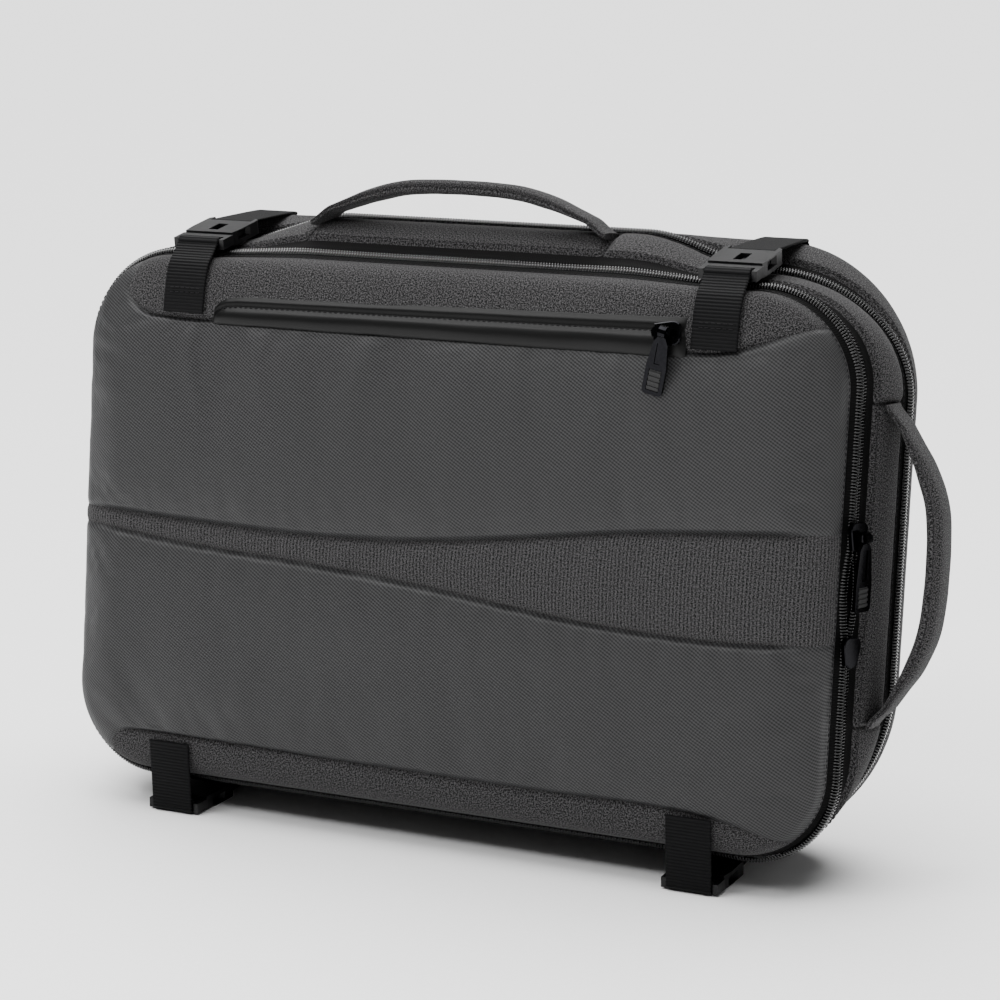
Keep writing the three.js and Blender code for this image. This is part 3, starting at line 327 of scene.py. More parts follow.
def section_at(run):
    """Rounded rectangle of the body: depth, half width, low, high, top and base corner, dip."""
    run = np.asarray(run, float)
    forward, inset = np.moveaxis(row_at(FRONT_ROWS, -run), -1, 0)
    inset = inset * HALF_HEIGHT
    same = np.ones_like(run)
    dip = STRAP_DIP * REAR_ROWS[0, 5] * (1 - smoothstep(-run, 0, DIP_FADE_ROWS))
    front = [
        -forward * FRONT_DEPTH,
        HALF_LENGTH - inset,
        ZIP_RISE + inset,
        ZIP_TOP - inset,
        ZIP_CORNER_TOP * same,
        ZIP_CORNER_BASE * same,
        dip,
    ]
    depth, side, crown, base, rounding, dip, tuck = np.moveaxis(row_at(REAR_ROWS, run), -1, 0)
    tuck = tuck * HALF_HEIGHT
    rear = [
        depth * REAR_DEPTH,
        HALF_LENGTH + side * SIDE_BULGE - tuck,
        ZIP_RISE - base * BASE_BULGE + tuck,
        ZIP_TOP + crown * CROWN_BULGE - tuck,
        ZIP_CORNER_TOP + (REAR_CORNER_TOP - ZIP_CORNER_TOP) * rounding,
        ZIP_CORNER_BASE + (REAR_CORNER_BASE - ZIP_CORNER_BASE) * rounding,
        dip * STRAP_DIP,
    ]
    return np.where(run < 0, np.stack(front), np.stack(rear))


def run_at_depth(depth):
    """Run at which the body reaches a depth, negative in front of the main zip."""
    runs = np.linspace(-8, 7.5, 6201)
    return float(np.interp(depth, section_at(runs)[0], runs))


def dent_at(x, z):
    """How far the front panel sinks at a place."""
    across_x = (x[..., None] / HALF_LENGTH - FRONT_DENTS[:, 0]) / FRONT_DENTS[:, 2]
    across_z = ((z[..., None] - ZIP_RISE) / ZIP_HEIGHT - FRONT_DENTS[:, 1]) / FRONT_DENTS[:, 3]
    return (FRONT_DENTS[:, 4] * FRONT_DEPTH * np.exp(-(across_x**2) - across_z**2)).sum(-1)


def rounded_outline(around, wide, low, high, top, base):
    """Points of a rounded rectangle, and how far each faces up. Whole numbers of around start the
    base, right, top and left edges, and each edge's corner takes the second half of its unit."""
    around = np.asarray(around, float) % 4
    edge = np.floor(around).astype(int)
    part = (around - edge) * 2
    on_corner = part >= 1
    share = part - on_corner
    centre_x = np.stack(np.broadcast_arrays(wide - base, wide - top, top - wide, base - wide), -1)
    centre_z = np.stack(np.broadcast_arrays(low + base, high - top, high - top, low + base), -1)
    radius = np.stack(np.broadcast_arrays(base, top, top, base), -1)
    shape = np.broadcast_shapes(edge.shape, centre_x.shape[:-1])
    edge = np.broadcast_to(edge, shape)
    before = (edge + 3) % 4

    def pick(table, index):
        table = np.broadcast_to(table, (*shape, 4))
        return np.take_along_axis(table, index[..., None], -1)[..., 0]

    start = (edge - 1) * (math.pi / 2)
    angle = start + np.where(on_corner, share, 0) * (math.pi / 2)
    out_x, out_z = np.cos(start), np.sin(start)
    first_x = pick(centre_x, before) + pick(radius, before) * out_x
    first_z = pick(centre_z, before) + pick(radius, before) * out_z
    last_x = pick(centre_x, edge) + pick(radius, edge) * out_x
    last_z = pick(centre_z, edge) + pick(radius, edge) * out_z
    x = np.where(
        on_corner,
        pick(centre_x, edge) + pick(radius, edge) * np.cos(angle),
        first_x + (last_x - first_x) * share,
    )
    z = np.where(
        on_corner,
        pick(centre_z, edge) + pick(radius, edge) * np.sin(angle),
        first_z + (last_z - first_z) * share,
    )
    return x, z, np.where(on_corner, np.sin(angle), out_z)


def body_point(around, run):
    """Points of the body's outer surface."""
    around, run = np.broadcast_arrays(np.asarray(around, float), np.asarray(run, float))
    depth, wide, low, high, top, base, dip = section_at(run)
    fit = np.minimum(1, (high - low - 1) / (top + base))
    x, z, lift = rounded_outline(around, wide, low, high, top * fit, base * fit)
    z = z - dip * smoothstep(np.abs(x), DIP_START, DIP_END) * np.maximum(0, lift)
    dent = dent_at(x, z) * smoothstep(-run, DENT_START_ROW, DENT_FULL_ROW)
    return np.stack([x, depth + dent, z], -1)


def body_normal(around, run):
    """Outward normals of the body's surface."""
    step = 0.05
    turn = 0.01
    along = body_point(around, np.asarray(run) + step) - body_point(around, np.asarray(run) - step)
    across = body_point(np.asarray(around) + turn, run) - body_point(np.asarray(around) - turn, run)
    return unit(np.cross(along, across))


def unit(vectors):
    return vectors / np.maximum(np.linalg.norm(vectors, axis=-1, keepdims=True), 1e-9)


def leaned(points):
    """Points of the bag as it leans back, in millimetres."""
    back = points[..., 1] - LEAN_PIVOT
    y = LEAN_PIVOT + back * math.cos(LEAN_ANGLE) + points[..., 2] * math.sin(LEAN_ANGLE)
    z = -back * math.sin(LEAN_ANGLE) + points[..., 2] * math.cos(LEAN_ANGLE) - SETTLE
    return np.stack([points[..., 0], y, z], -1)


def frame_shift():
    """Where the bag's own origin stands in the frame, found from the main zip's box."""
    low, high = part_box("main_zip")
    run = run_at_depth(-MAIN_TAPE / 2)
    rim = body_point(np.linspace(0, 4, 400), run)
    inner = rim - TAPE_WALL * body_normal(np.linspace(0, 4, 400), run)
    nearest = min(leaned(rim)[..., 1].min(), leaned(inner)[..., 1].min())
    return np.array([(low.x + high.x) / 2 / MM, low.y / MM - nearest, 0])


SHIFT = frame_shift()


def stand(points):
    """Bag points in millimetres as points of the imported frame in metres."""
    return (leaned(np.asarray(points, float)) + SHIFT) * MM


def arc_lengths(points):
    steps = np.linalg.norm(np.diff(points, axis=0), axis=-1)
    return np.concatenate([[0], np.cumsum(steps)])


def evenly(points, count):
    """Line of points, resampled at even distances."""
    length = arc_lengths(points)
    at = np.linspace(0, length[-1], count)
    return np.stack([np.interp(at, length, points[:, axis]) for axis in range(points.shape[1])], -1)


# The front shell unrolled flat: an inset of the outline that goes on past the zip's line by the
# length of cloth between the zip and the face
FRONT_RUNS = np.linspace(0, len(FRONT_ROWS) - 1, 801)
FRONT_PROFILE = row_at(FRONT_ROWS, FRONT_RUNS) * [FRONT_DEPTH, HALF_HEIGHT]
FRONT_ARC = arc_lengths(FRONT_PROFILE)
FRONT_FLAT = FRONT_PROFILE[-1, 1] - (FRONT_ARC[-1] - FRONT_ARC)
FRONT_RIM = run_at_depth(-ZIP_SHOW)
FLAT_RIM = float(np.interp(-FRONT_RIM, FRONT_RUNS, FRONT_FLAT))


def flat_outline(around, inset):
    x, z, _ = rounded_outline(
        around,
        HALF_LENGTH - inset,
        ZIP_RISE + inset,
        ZIP_TOP - inset,
        np.full_like(inset, ZIP_CORNER_TOP, dtype=float),
        np.full_like(inset, ZIP_CORNER_BASE, dtype=float),
    )
    return np.stack([x, z], -1)


def flat_place(plane):
    """Place round the outline and inset of points of the front plane."""
    x, z = plane[..., 0], plane[..., 1]
    upper = z > ZIP_RISE + HALF_HEIGHT
    radius = np.where(upper, ZIP_CORNER_TOP, ZIP_CORNER_BASE)
    from_side = HALF_LENGTH - np.abs(x)
    from_edge = np.minimum(ZIP_TOP - z, z - ZIP_RISE)
    a = radius - from_side
    b = radius - from_edge
    root = np.sqrt(np.maximum(2 * radius**2 - (a - b) ** 2, 0))
    on_side = from_edge - from_side >= radius
    on_edge = from_side - from_edge >= radius
    inset = np.where(on_side, from_side, np.where(on_edge, from_edge, (root - a - b) / 2))
    low = ZIP_RISE + inset + ZIP_CORNER_BASE
    high = ZIP_TOP - inset - ZIP_CORNER_TOP
    rise = (z - low) / np.maximum(high - low, 1e-6)
    straight = HALF_LENGTH - inset - radius
    side_place = np.where(x > 0, 1 + rise / 2, 3 + (1 - rise) / 2)
    slide = (straight + np.where(upper, -x, x)) / np.maximum(2 * straight, 1e-6)
    edge_place = np.where(upper, 2 + slide / 2, slide / 2)
    corner_z = np.where(upper, z - high, low - z)
    angle = np.arctan2(corner_z, np.abs(x) - straight) / (math.pi / 2)
    corner = np.where(
        upper,
        np.where(x > 0, 1.5 + angle / 2, 3 - angle / 2),
        np.where(x > 0, 1 - angle / 2, 3.5 + angle / 2),
    )
    around = np.where(on_side, side_place, np.where(on_edge, edge_place, corner))
    return around, inset


# Insets of the flat pattern between which the wall turns into the face, and how sharply the slopes
# from two edges of the face meet
FACE_START = 22
FACE_FULL = 44
FACE_BLEND = 4

# Insets between which the cloth's own relief comes in, and its share on the wall
WALL_INSET = 4
FACE_INSET = 32
WALL_RELIEF = 0.25

CLOTH_FRAMES = 24
FOLD_FADE = 8
FOLD_GAIN = 1.5

# Relief of a sewn panel, in millimetres: how fast it swells, puckers and rolls away from a seam
SWELL_REACH = 18
PUCKER_REACH = 9
PUCKER_START = 1.5
PUCKER_LENGTH = 11
ROLLING_HEIGHT = 0.35
ROLLING_LENGTH = 70
ROLLING_START = 3
ROLLING_FULL = 30

# Small waves that the draped cloth starts from, so that it doesn't rise evenly
START_WAVE = 0.3
START_WAVE_LENGTH = 23


def front_surface(plane):
    """Points of the front shell for points of its flat pattern."""
    around, flat = flat_place(plane)
    run = -np.interp(flat, FRONT_FLAT, FRONT_RUNS)
    wall = body_point(around, run)
    x, z = plane[..., 0], plane[..., 1]
    from_side = np.maximum(HALF_LENGTH - np.abs(x), 1)
    from_edge = np.maximum(np.minimum(ZIP_TOP - z, z - ZIP_RISE), 1)
    soft = (from_side**-FACE_BLEND + from_edge**-FACE_BLEND) ** (-1 / FACE_BLEND)
    face_run = -np.interp(soft, FRONT_FLAT, FRONT_RUNS)
    depth = section_at(face_run)[0] + dent_at(x, z)
    face = np.stack([x, depth, z], -1)
    share = smoothstep(flat, FACE_START, FACE_FULL)[..., None]
    return wall * (1 - share) + face * share


def front_normal(plane):
    step = 0.4
    along_x = front_surface(plane + [step, 0]) - front_surface(plane - [step, 0])
    along_z = front_surface(plane + [0, step]) - front_surface(plane - [0, step])
    return unit(np.cross(along_x, along_z))


def seam_line(rows, count):
    """A seam on the flat pattern, from rim to rim, and its two places round the rim."""
    places = np.linspace(0, len(rows) - 1, 6001)
    points = row_at(rows, places) * [HALF_LENGTH, ZIP_HEIGHT] + [0, ZIP_RISE]
    around, inset = flat_place(points)
    run = -np.interp(inset, FRONT_PROFILE[:, 1], FRONT_RUNS)
    kept = (inset > 0) & (run < FRONT_RIM)
    points, around, inset, run = points[kept], around[kept], inset[kept], run[kept]
    flat = np.interp(-run, FRONT_RUNS, FRONT_FLAT)
    flat[0] = flat[-1] = FLAT_RIM
    line = np.where((inset > FACE_FULL)[:, None], points, flat_outline(around, flat))
    return evenly(line, count), around[0], around[-1]


def rim_line(start, end, count):
    around = np.linspace(start, end, 800)
    return evenly(flat_outline(around, np.full(800, FLAT_RIM)), count)


def clustered(count, ends=0.25):
    """Shares from 0 to 1 that lie closer together near both ends."""
    share = np.linspace(0, 1, count)
    return share - (1 - ends) * np.sin(2 * math.pi * share) / (2 * math.pi)


def at_shares(line, shares):
    place = shares * (len(line) - 1)
    index = np.arange(len(line))
    return np.stack([np.interp(place, index, line[:, axis]) for axis in range(line.shape[1])], -1)


def patch(base, top, left, right, across, up):
    """Flat grid between four border lines, as rows from base to top."""
    base, top = at_shares(base, across), at_shares(top, across)
    left, right = at_shares(left, up), at_shares(right, up)
    u = across[None, :, None]
    v = up[:, None, None]
    corners = (
        (1 - u) * (1 - v) * base[0] + u * (1 - v) * base[-1] + (1 - u) * v * top[0] + u * v * top[-1]
    )
    return (1 - v) * base + v * top + (1 - u) * left[:, None] + u * right[:, None] - corners


def border_distance(grid):
    """Distance of each grid point from the nearest border of its cloth, along the cloth."""
    down = np.linalg.norm(np.diff(grid, axis=0), axis=-1)
    side = np.linalg.norm(np.diff(grid, axis=1), axis=-1)
    from_base = np.concatenate([np.zeros((1, grid.shape[1])), np.cumsum(down, 0)])
    from_left = np.concatenate([np.zeros((grid.shape[0], 1)), np.cumsum(side, 1)], 1)
    from_top = from_base[-1:] - from_base
    from_right = from_left[:, -1:] - from_left
    return np.minimum.reduce([from_base, from_top, from_left, from_right])


def wander(x, z, length, seed):
    """Smooth uneven waves between -1 and 1, with about the given distance from crest to crest."""
    angles = np.array([0.3, 1.4, 2.5, 3.9, 5.2]) + seed
    tempo = np.array([1.0, 1.31, 0.77, 1.63, 0.58]) * 2 * math.pi / length
    waves = [
        np.sin((x * np.cos(a) + z * np.sin(a)) * t + 7.1 * a * seed)
        for a, t in zip(angles, tempo)
    ]
    return sum(waves) / len(waves)


# Soft folds of the front cloth: x and z as shares, the way they run in degrees from upright,
# half their length and width in millimetres, and their height before FOLD_GAIN
FRONT_FOLDS = np.array(
    [
        (-0.66, 0.79, 14, 24, 5, 0.9),
        (-0.56, 0.77, -12, 30, 6, -0.8),
        (-0.47, 0.8, 18, 26, 7, 0.7),
        (-0.3, 0.77, 8, 34, 9, -0.7),
        (-0.2, 0.79, -10, 30, 8, 0.8),
        (-0.08, 0.78, 12, 36, 9, -0.8),
        (0.05, 0.76, -6, 34, 10, 0.7),
        (0.26, 0.79, 16, 28, 8, -0.6),
        (0.42, 0.75, -14, 36, 9, 0.7),
        (0.6, 0.78, 10, 26, 7, -0.7),
        (-0.93, 0.86, 64, 16, 3.5, 0.8),
        (-0.92, 0.8, 74, 18, 4, -0.7),
        (-0.93, 0.73, 82, 16, 5, 0.5),
        (-0.9, 0.14, 60, 20, 6, 0.8),
        (-0.8, 0.17, 35, 26, 8, -0.8),
        (-0.5, 0.15, -20, 30, 9, 0.7),
        (0.1, 0.16, 14, 34, 10, -0.6),
        (0.5, 0.17, -28, 34, 9, 0.8),
        (0.74, 0.2, -38, 34, 9, -0.9),
        (0.9, 0.24, -60, 24, 7, 0.7),
        (0.92, 0.8, -66, 20, 6, -0.6),
    ]
)


def fold_height(plane):
    """Height of the front cloth's soft folds."""
    total = np.zeros(plane.shape[:-1])
    for x, z, angle, reach, width, height in FRONT_FOLDS:
        dx = plane[..., 0] - x * HALF_LENGTH
        dz = plane[..., 1] - ZIP_RISE - z * ZIP_HEIGHT
        turn = math.radians(angle)
        across = dx * math.cos(turn) + dz * math.sin(turn)
        along = -dx * math.sin(turn) + dz * math.cos(turn)
        total += FOLD_GAIN * height * np.exp(-((across / width) ** 2) - (along / reach) ** 2)
    return total


def mesh_piece(name, points, faces, material, cloth=None):
    """Object from frame points in metres. cloth keeps each point's place on the flat cloth."""
    mesh = bpy.data.meshes.new(name)
    mesh.from_pydata(np.asarray(points, float).tolist(), [], np.asarray(faces).tolist())
    if cloth is not None:
        layer = mesh.attributes.new("cloth", "FLOAT_VECTOR", "POINT")
        flat = np.zeros((len(points), 3), np.float32)
        flat[:, : cloth.shape[1]] = cloth * MM
        layer.data.foreach_set("vector", flat.ravel())
    mesh.polygons.foreach_set("use_smooth", np.full(len(mesh.polygons), True))
    mesh.materials.append(material)
    mesh.update()
    piece = bpy.data.objects.new(name, mesh)
    bpy.context.scene.collection.objects.link(piece)
    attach(piece, BODY)
    return piece


def grid_faces(rows, columns, closed_columns=False):
    """Four-sided faces of a grid of points, whose rows may close on themselves."""
    row = np.arange(rows - 1)
    column = np.arange(columns if closed_columns else columns - 1)
    here, beside = np.meshgrid(row, column, indexing="ij")
    next_row = here + 1
    next_column = (beside + 1) % columns
    faces = [
        here * columns + beside,
        here * columns + next_column,
        next_row * columns + next_column,
        next_row * columns + beside,
    ]
    return np.stack(faces, -1).reshape(-1, 4)


BAG_MIDDLE = np.array([0, 35, 155])


def sheet_piece(name, points, cloth, material, closed=False):
    """Cloth sheet over a grid of bag points, facing away from the middle of the bag."""
    rows, columns = points.shape[:2]
    faces = grid_faces(rows, columns, closed_columns=closed)
    middle = points.reshape(-1, 3)[faces]
    facing = np.cross(middle[:, 1] - middle[:, 0], middle[:, 3] - middle[:, 0])
    if (facing * (middle[:, 0] - BAG_MIDDLE)).sum() < 0:
        faces = faces[:, ::-1]
    flat = cloth.reshape(-1, cloth.shape[-1])
    return mesh_piece(name, stand(points.reshape(-1, 3)), faces, material, flat)


def turned_in(points, normals, depth):
    """Grid with one more row and column on each side, folded in under the cloth."""
    points = np.pad(points, ((1, 1), (1, 1), (0, 0)), mode="edge")
    normals = np.pad(normals, ((1, 1), (1, 1), (0, 0)), mode="edge")
    fold = np.zeros(points.shape[:2])
    fold[[0, -1], :] = depth
    fold[:, [0, -1]] = depth
    return points - normals * fold[..., None]


def seam_relief(distance, plane, sizes, seed):
    """Height of a cloth panel: it rolls down into its seams, swells between them and puckers."""
    roll = -sizes.seam_depth / MM * np.exp(-((distance / (sizes.seam_width / MM)) ** 2))
    swell = sizes.swell / MM * (1 - np.exp(-distance / SWELL_REACH))
    near = np.exp(-distance / PUCKER_REACH) * (1 - np.exp(-distance / PUCKER_START))
    across, up = plane[..., 0], plane[..., 1]
    pucker = sizes.pucker / MM * near * wander(across, up, PUCKER_LENGTH, seed)
    waves = ROLLING_HEIGHT * wander(across, up, ROLLING_LENGTH, seed + 1)
    rolling = waves * smoothstep(distance, ROLLING_START, ROLLING_FULL)
    return roll + swell + pucker + rolling


def coarse_places(length, step):
    """Indices of a line's points that lie about a step apart, with both ends."""
    count = max(int(length[-1] / step) + 1, 4)
    places = np.interp(np.linspace(0, length[-1], count), length, np.arange(len(length)))
    return np.unique(np.round(places).astype(int))


def drape(surface, normals, sizes, seed):
    """Height that a panel takes by cloth simulation: it is sewn down along its border, cut a little
    larger than its place and pushed out by the padding behind it."""
    step = sizes.cloth_grid / MM
    rows = coarse_places(arc_lengths(surface[:, surface.shape[1] // 2]), step)
    columns = coarse_places(arc_lengths(surface[surface.shape[0] // 2]), step)
    start = surface[np.ix_(rows, columns)]
    out = normals[np.ix_(rows, columns)]
    bump = START_WAVE * wander(start[..., 0], start[..., 2], START_WAVE_LENGTH, seed)
    bump[[0, -1], :] = 0
    bump[:, [0, -1]] = 0
    faces = grid_faces(*start.shape[:2])
    middle = start.reshape(-1, 3)[faces]
    facing = np.cross(middle[:, 1] - middle[:, 0], middle[:, 3] - middle[:, 0])
    if (facing * out.reshape(-1, 3)[faces[:, 0]]).sum() < 0:
        faces = faces[:, ::-1]
    mesh = bpy.data.meshes.new("draped")
    placed = (start + out * bump[..., None]).reshape(-1, 3) * MM
    mesh.from_pydata(placed.tolist(), [], faces.tolist())
    panel = bpy.data.objects.new("draped", mesh)
    scene = bpy.context.scene
    scene.collection.objects.link(panel)
    border = np.zeros(start.shape[:2], bool)
    border[[0, -1], :] = True
    border[:, [0, -1]] = True
    sewn = panel.vertex_groups.new(name="sewn")
    sewn.add(np.flatnonzero(border.ravel()).tolist(), 1.0, "REPLACE")
    cloth = panel.modifiers.new("cloth", "CLOTH")
    settings = cloth.settings
    settings.vertex_group_mass = "sewn"
    settings.quality = 6
    settings.mass = 0.002
    settings.tension_stiffness = 20
    settings.compression_stiffness = 20
    settings.shear_stiffness = 4
    settings.bending_stiffness = 0.02
    settings.shrink_min = -sizes.cloth_ease
    settings.use_pressure = True
    settings.uniform_pressure_force = sizes.padding_push
    settings.effector_weights.gravity = 0
    cloth.collision_settings.use_collision = False
    cloth.point_cache.frame_start = 1
    cloth.point_cache.frame_end = CLOTH_FRAMES
    for frame_number in range(1, CLOTH_FRAMES + 1):
        scene.frame_set(frame_number)
    solved = panel.evaluated_get(bpy.context.evaluated_depsgraph_get())
    moved = np.empty(len(mesh.vertices) * 3)
    solved.data.vertices.foreach_get("co", moved)
    moved = moved.reshape(start.shape) / MM
    bpy.data.objects.remove(panel)
    scene.frame_set(1)
    rise = ((moved - start) * out).sum(-1)
    limit = sizes.cloth_limit / MM
    rise = np.where(np.isfinite(rise), limit * np.tanh(rise / limit), 0)
    wide = np.stack([np.interp(np.arange(surface.shape[1]), columns, line) for line in rise])
    return np.stack([np.interp(np.arange(surface.shape[0]), rows, line) for line in wide.T], -1)


def front_sheet(name, grid, material, sizes, seed, folds):
    """Cloth panel of the front. folds is its share of the soft folds, and only a panel with some is
    draped: the narrow bands are sewn too tightly to move."""
    distance = border_distance(grid)
    normals = front_normal(grid)
    _, inset = flat_place(grid)
    face = smoothstep(inset, WALL_INSET, FACE_INSET)
    soft = folds * fold_height(grid) * smoothstep(distance, 0, FOLD_FADE)
    surface = front_surface(grid)
    if folds:
        soft = soft + drape(surface, normals, sizes, seed)
    relief = seam_relief(distance, grid, sizes, seed) + soft
    # On the wall beside the zip the cloth lies 1 mm deeper than on the face
    height = relief * (WALL_RELIEF + (1 - WALL_RELIEF) * face) + face - 1
    points = surface + normals * height[..., None]
    points = turned_in(points, normals, sizes.fold_depth / MM)
    cloth = np.pad(grid, ((1, 1), (1, 1), (0, 0)), mode="edge")
    return sheet_piece(name, points, cloth, material)


def linear(hexadecimal):
    """Linear colour of an sRGB hex value."""
    parts = [int(hexadecimal[i : i + 2], 16) / 255 for i in (1, 3, 5)]
    return tuple(c / 12.92 if c <= 0.04045 else ((c + 0.055) / 1.055) ** 2.4 for c in parts)


def set_inputs(tree, node, inputs):
    """Sets each input of a node to its value, or links it to its socket."""
    for key, value in inputs.items():
        if isinstance(value, bpy.types.NodeSocket):
            tree.links.new(value, node.inputs[key])
        else:
            node.inputs[key].default_value = value


def add_node(tree, kind, settings=None, inputs=None):
    """A node with its settings and with its inputs set or linked."""
    node = tree.nodes.new(kind)
    for key, value in (settings or {}).items():
        setattr(node, key, value)
    set_inputs(tree, node, inputs or {})
    return node


def start_material(name):
    """New material with an empty tree, its surface shader and its output."""
    material = bpy.data.materials.new(name)
    material.use_nodes = True
    tree = material.node_tree
    tree.nodes.clear()
    shader = add_node(tree, "ShaderNodeBsdfPrincipled")
    add_node(tree, "ShaderNodeOutputMaterial", None, {"Surface": shader.outputs[0]})
    return material, tree, shader


# Scale at which a wave texture repeats once in each unit
WAVE_UNIT = 2 * math.pi / 20


def cloth_places(tree, spacing, turn=0.0):
    """Places on the flat cloth, counted in threads of a spacing in millimetres."""
    place = add_node(tree, "ShaderNodeAttribute", {"attribute_name": "cloth"})
    count = 1 / (spacing * MM)
    mapping = add_node(
        tree,
        "ShaderNodeMapping",
        {"vector_type": "POINT"},
        {"Vector": place.outputs["Vector"], "Rotation": (0, 0, turn), "Scale": (count, count, count)},
    )
    return mapping.outputs["Vector"]


TWILL_TURNS = (math.radians(-58), math.radians(34))


def coated_twill(cloth):
    """Polyester twill with a thin soft coating: satin, with diamond-shaped thread crossings. The real
    crossings are finer than a render shows, so they are drawn coarser, at the twill spacing. Its
    colour has painted shade between the threads and a painted highlight on them."""
    material, tree, shader = start_material("coated polyester twill")
    threads = []
    for turn in TWILL_TURNS:
        wave = add_node(
            tree,
            "ShaderNodeTexWave",
            {"wave_type": "BANDS", "bands_direction": "X", "wave_profile": "SIN"},
            {
                "Vector": cloth_places(tree, cloth.twill_spacing / MM, turn),
                "Scale": WAVE_UNIT,
                "Distortion": 0.4,
            },
        )
        threads.append(wave.outputs["Fac"])
    weave_and_painted_shade = add_node(
        tree,
        "ShaderNodeMix",
        {"data_type": "FLOAT"},
        {"Factor": 0.3, "A": threads[0], "B": threads[1]},
    )
    soil = add_node(
        tree,
        "ShaderNodeTexNoise",
        None,
        {"Vector": cloth_places(tree, 60), "Scale": 1.0, "Detail": 3.0, "Roughness": 0.55},
    )
    # Painted weave: colour darker between the threads as painted shade, lighter on them as painted
    # highlight
    shade = add_node(
        tree,
        "ShaderNodeMix",
        {"data_type": "RGBA"},
        {"A": (*cloth.twill_grey_with_painted_shade, 1), "B": (*cloth.twill_grey_with_painted_highlight, 1), "Factor": weave_and_painted_shade.outputs["Result"]},
    )
    drift = add_node(
        tree,
        "ShaderNodeMapRange",
        None,
        {
            "Value": soil.outputs["Fac"],
            "From Min": 0.35,
            "From Max": 0.65,
            "To Min": 0.48,
            "To Max": 0.58,
        },
    )
    bump = add_node(
        tree,
        "ShaderNodeBump",
        None,
        {"Height": weave_and_painted_shade.outputs["Result"], "Strength": 0.6, "Distance": 0.2 * MM},
    )
    set_inputs(
        tree,
        shader,
        {
            "Base Color": shade.outputs["Result"],
            "Roughness": drift.outputs[0],
            "Normal": bump.outputs[0],
            "IOR": 1.5,
            "Specular IOR Level": 0.24,
        },
    )
    return material


def melange_polyester(cloth, name, rib):
    """Yarn spun from dark and light fibres: matt, with salt and pepper specks and a faint rib. The
    real fibres are far thinner than the specks, which are drawn coarser so that they show. The rib
    also darkens the colour in its troughs, as painted shade."""
    material, tree, shader = start_material(name)
    specks = []
    for stretch in ((1.0, 0.6, 1.0), (0.7, 1.0, 1.0)):
        mapping = add_node(
            tree,
            "ShaderNodeMapping",
            None,
            {"Vector": cloth_places(tree, cloth.melange_spacing / MM), "Scale": stretch},
        )
        noise = add_node(
            tree,
            "ShaderNodeTexNoise",
            None,
            {"Vector": mapping.outputs["Vector"], "Scale": 1.0, "Detail": 2.0, "Roughness": 0.7},
        )
        specks.append(noise.outputs["Fac"])
    together = add_node(tree, "ShaderNodeMath", {"operation": "ADD"}, {0: specks[0], 1: specks[1]})
    ribs = add_node(
        tree,
        "ShaderNodeTexWave",
        {"wave_type": "BANDS", "bands_direction": "X", "wave_profile": "SIN"},
        {"Vector": cloth_places(tree, cloth.rib_spacing / MM), "Scale": WAVE_UNIT, "Distortion": 1.2},
    )
    height = add_node(
        tree,
        "ShaderNodeMix",
        {"data_type": "FLOAT"},
        {"Factor": rib, "A": together.outputs[0], "B": ribs.outputs["Fac"]},
    )
    contrast = add_node(
        tree,
        "ShaderNodeMapRange",
        None,
        {"Value": together.outputs[0], "From Min": 0.94, "From Max": 1.13, "To Min": 0, "To Max": 1},
    )
    # Colour from the fibre specks, with painted shade in the troughs of the rib
    specks_and_painted_rib_shade = add_node(
        tree,
        "ShaderNodeMix",
        {"data_type": "FLOAT"},
        {"Factor": rib * 0.6, "A": contrast.outputs[0], "B": ribs.outputs["Fac"]},
    )
    shade = add_node(
        tree,
        "ShaderNodeMix",
        {"data_type": "RGBA"},
        {
            "A": (*cloth.melange_dark, 1),
            "B": (*cloth.melange_light, 1),
            "Factor": specks_and_painted_rib_shade.outputs["Result"],
        },
    )
    bump = add_node(
        tree,
        "ShaderNodeBump",
        None,
        {"Height": height.outputs["Result"], "Strength": 0.6, "Distance": 0.25 * MM},
    )
    set_inputs(
        tree,
        shader,
        {
            "Base Color": shade.outputs["Result"],
            "Normal": bump.outputs[0],
            "Roughness": 0.9,
            "IOR": 1.46,
            "Specular IOR Level": 0.15,
            "Sheen Weight": 0.04,
        },
    )
    return material


def ribbed_cloth(name, dark, light, spacing, rough, turn, depth):
    """Woven band with ribs across it: nylon webbing, or the tape of a zip, and sewing thread with its
    twist. The ribs of a zip tape are finer, and are drawn coarser so that they show. Its colour is
    darker in the rib troughs, as painted shade, and lighter on the ribs, as painted highlight, with
    fuzz that varies at random."""
    material, tree, shader = start_material(name)
    ribs = add_node(
        tree,
        "ShaderNodeTexWave",
        {"wave_type": "BANDS", "bands_direction": "X", "wave_profile": "SIN"},
        {
            "Vector": cloth_places(tree, spacing, turn),
            "Scale": WAVE_UNIT,
            "Distortion": 0.5,
            "Detail": 1.0,
        },
    )
    fuzz = add_node(
        tree,
        "ShaderNodeTexNoise",
        None,
        {"Vector": cloth_places(tree, 0.6), "Scale": 1.0, "Detail": 2.0, "Roughness": 0.6},
    )
    height = add_node(
        tree,
        "ShaderNodeMix",
        {"data_type": "FLOAT"},
        {"Factor": 0.25, "A": ribs.outputs["Fac"], "B": fuzz.outputs["Fac"]},
    )
    # Colour follows the rib height: painted shade in the troughs, painted highlight on the crests, with
    # random fuzz
    shade = add_node(
        tree,
        "ShaderNodeMix",
        {"data_type": "RGBA"},
        {"A": (*linear(dark), 1), "B": (*linear(light), 1), "Factor": height.outputs["Result"]},
    )
    bump = add_node(
        tree,
        "ShaderNodeBump",
        None,
        {"Height": height.outputs["Result"], "Strength": 0.8, "Distance": depth * MM},
    )
    set_inputs(
        tree,
        shader,
        {
            "Base Color": shade.outputs["Result"],
            "Normal": bump.outputs[0],
            "Roughness": rough,
            "IOR": 1.5,
            "Specular IOR Level": 0.1,
        },
    )
    return material


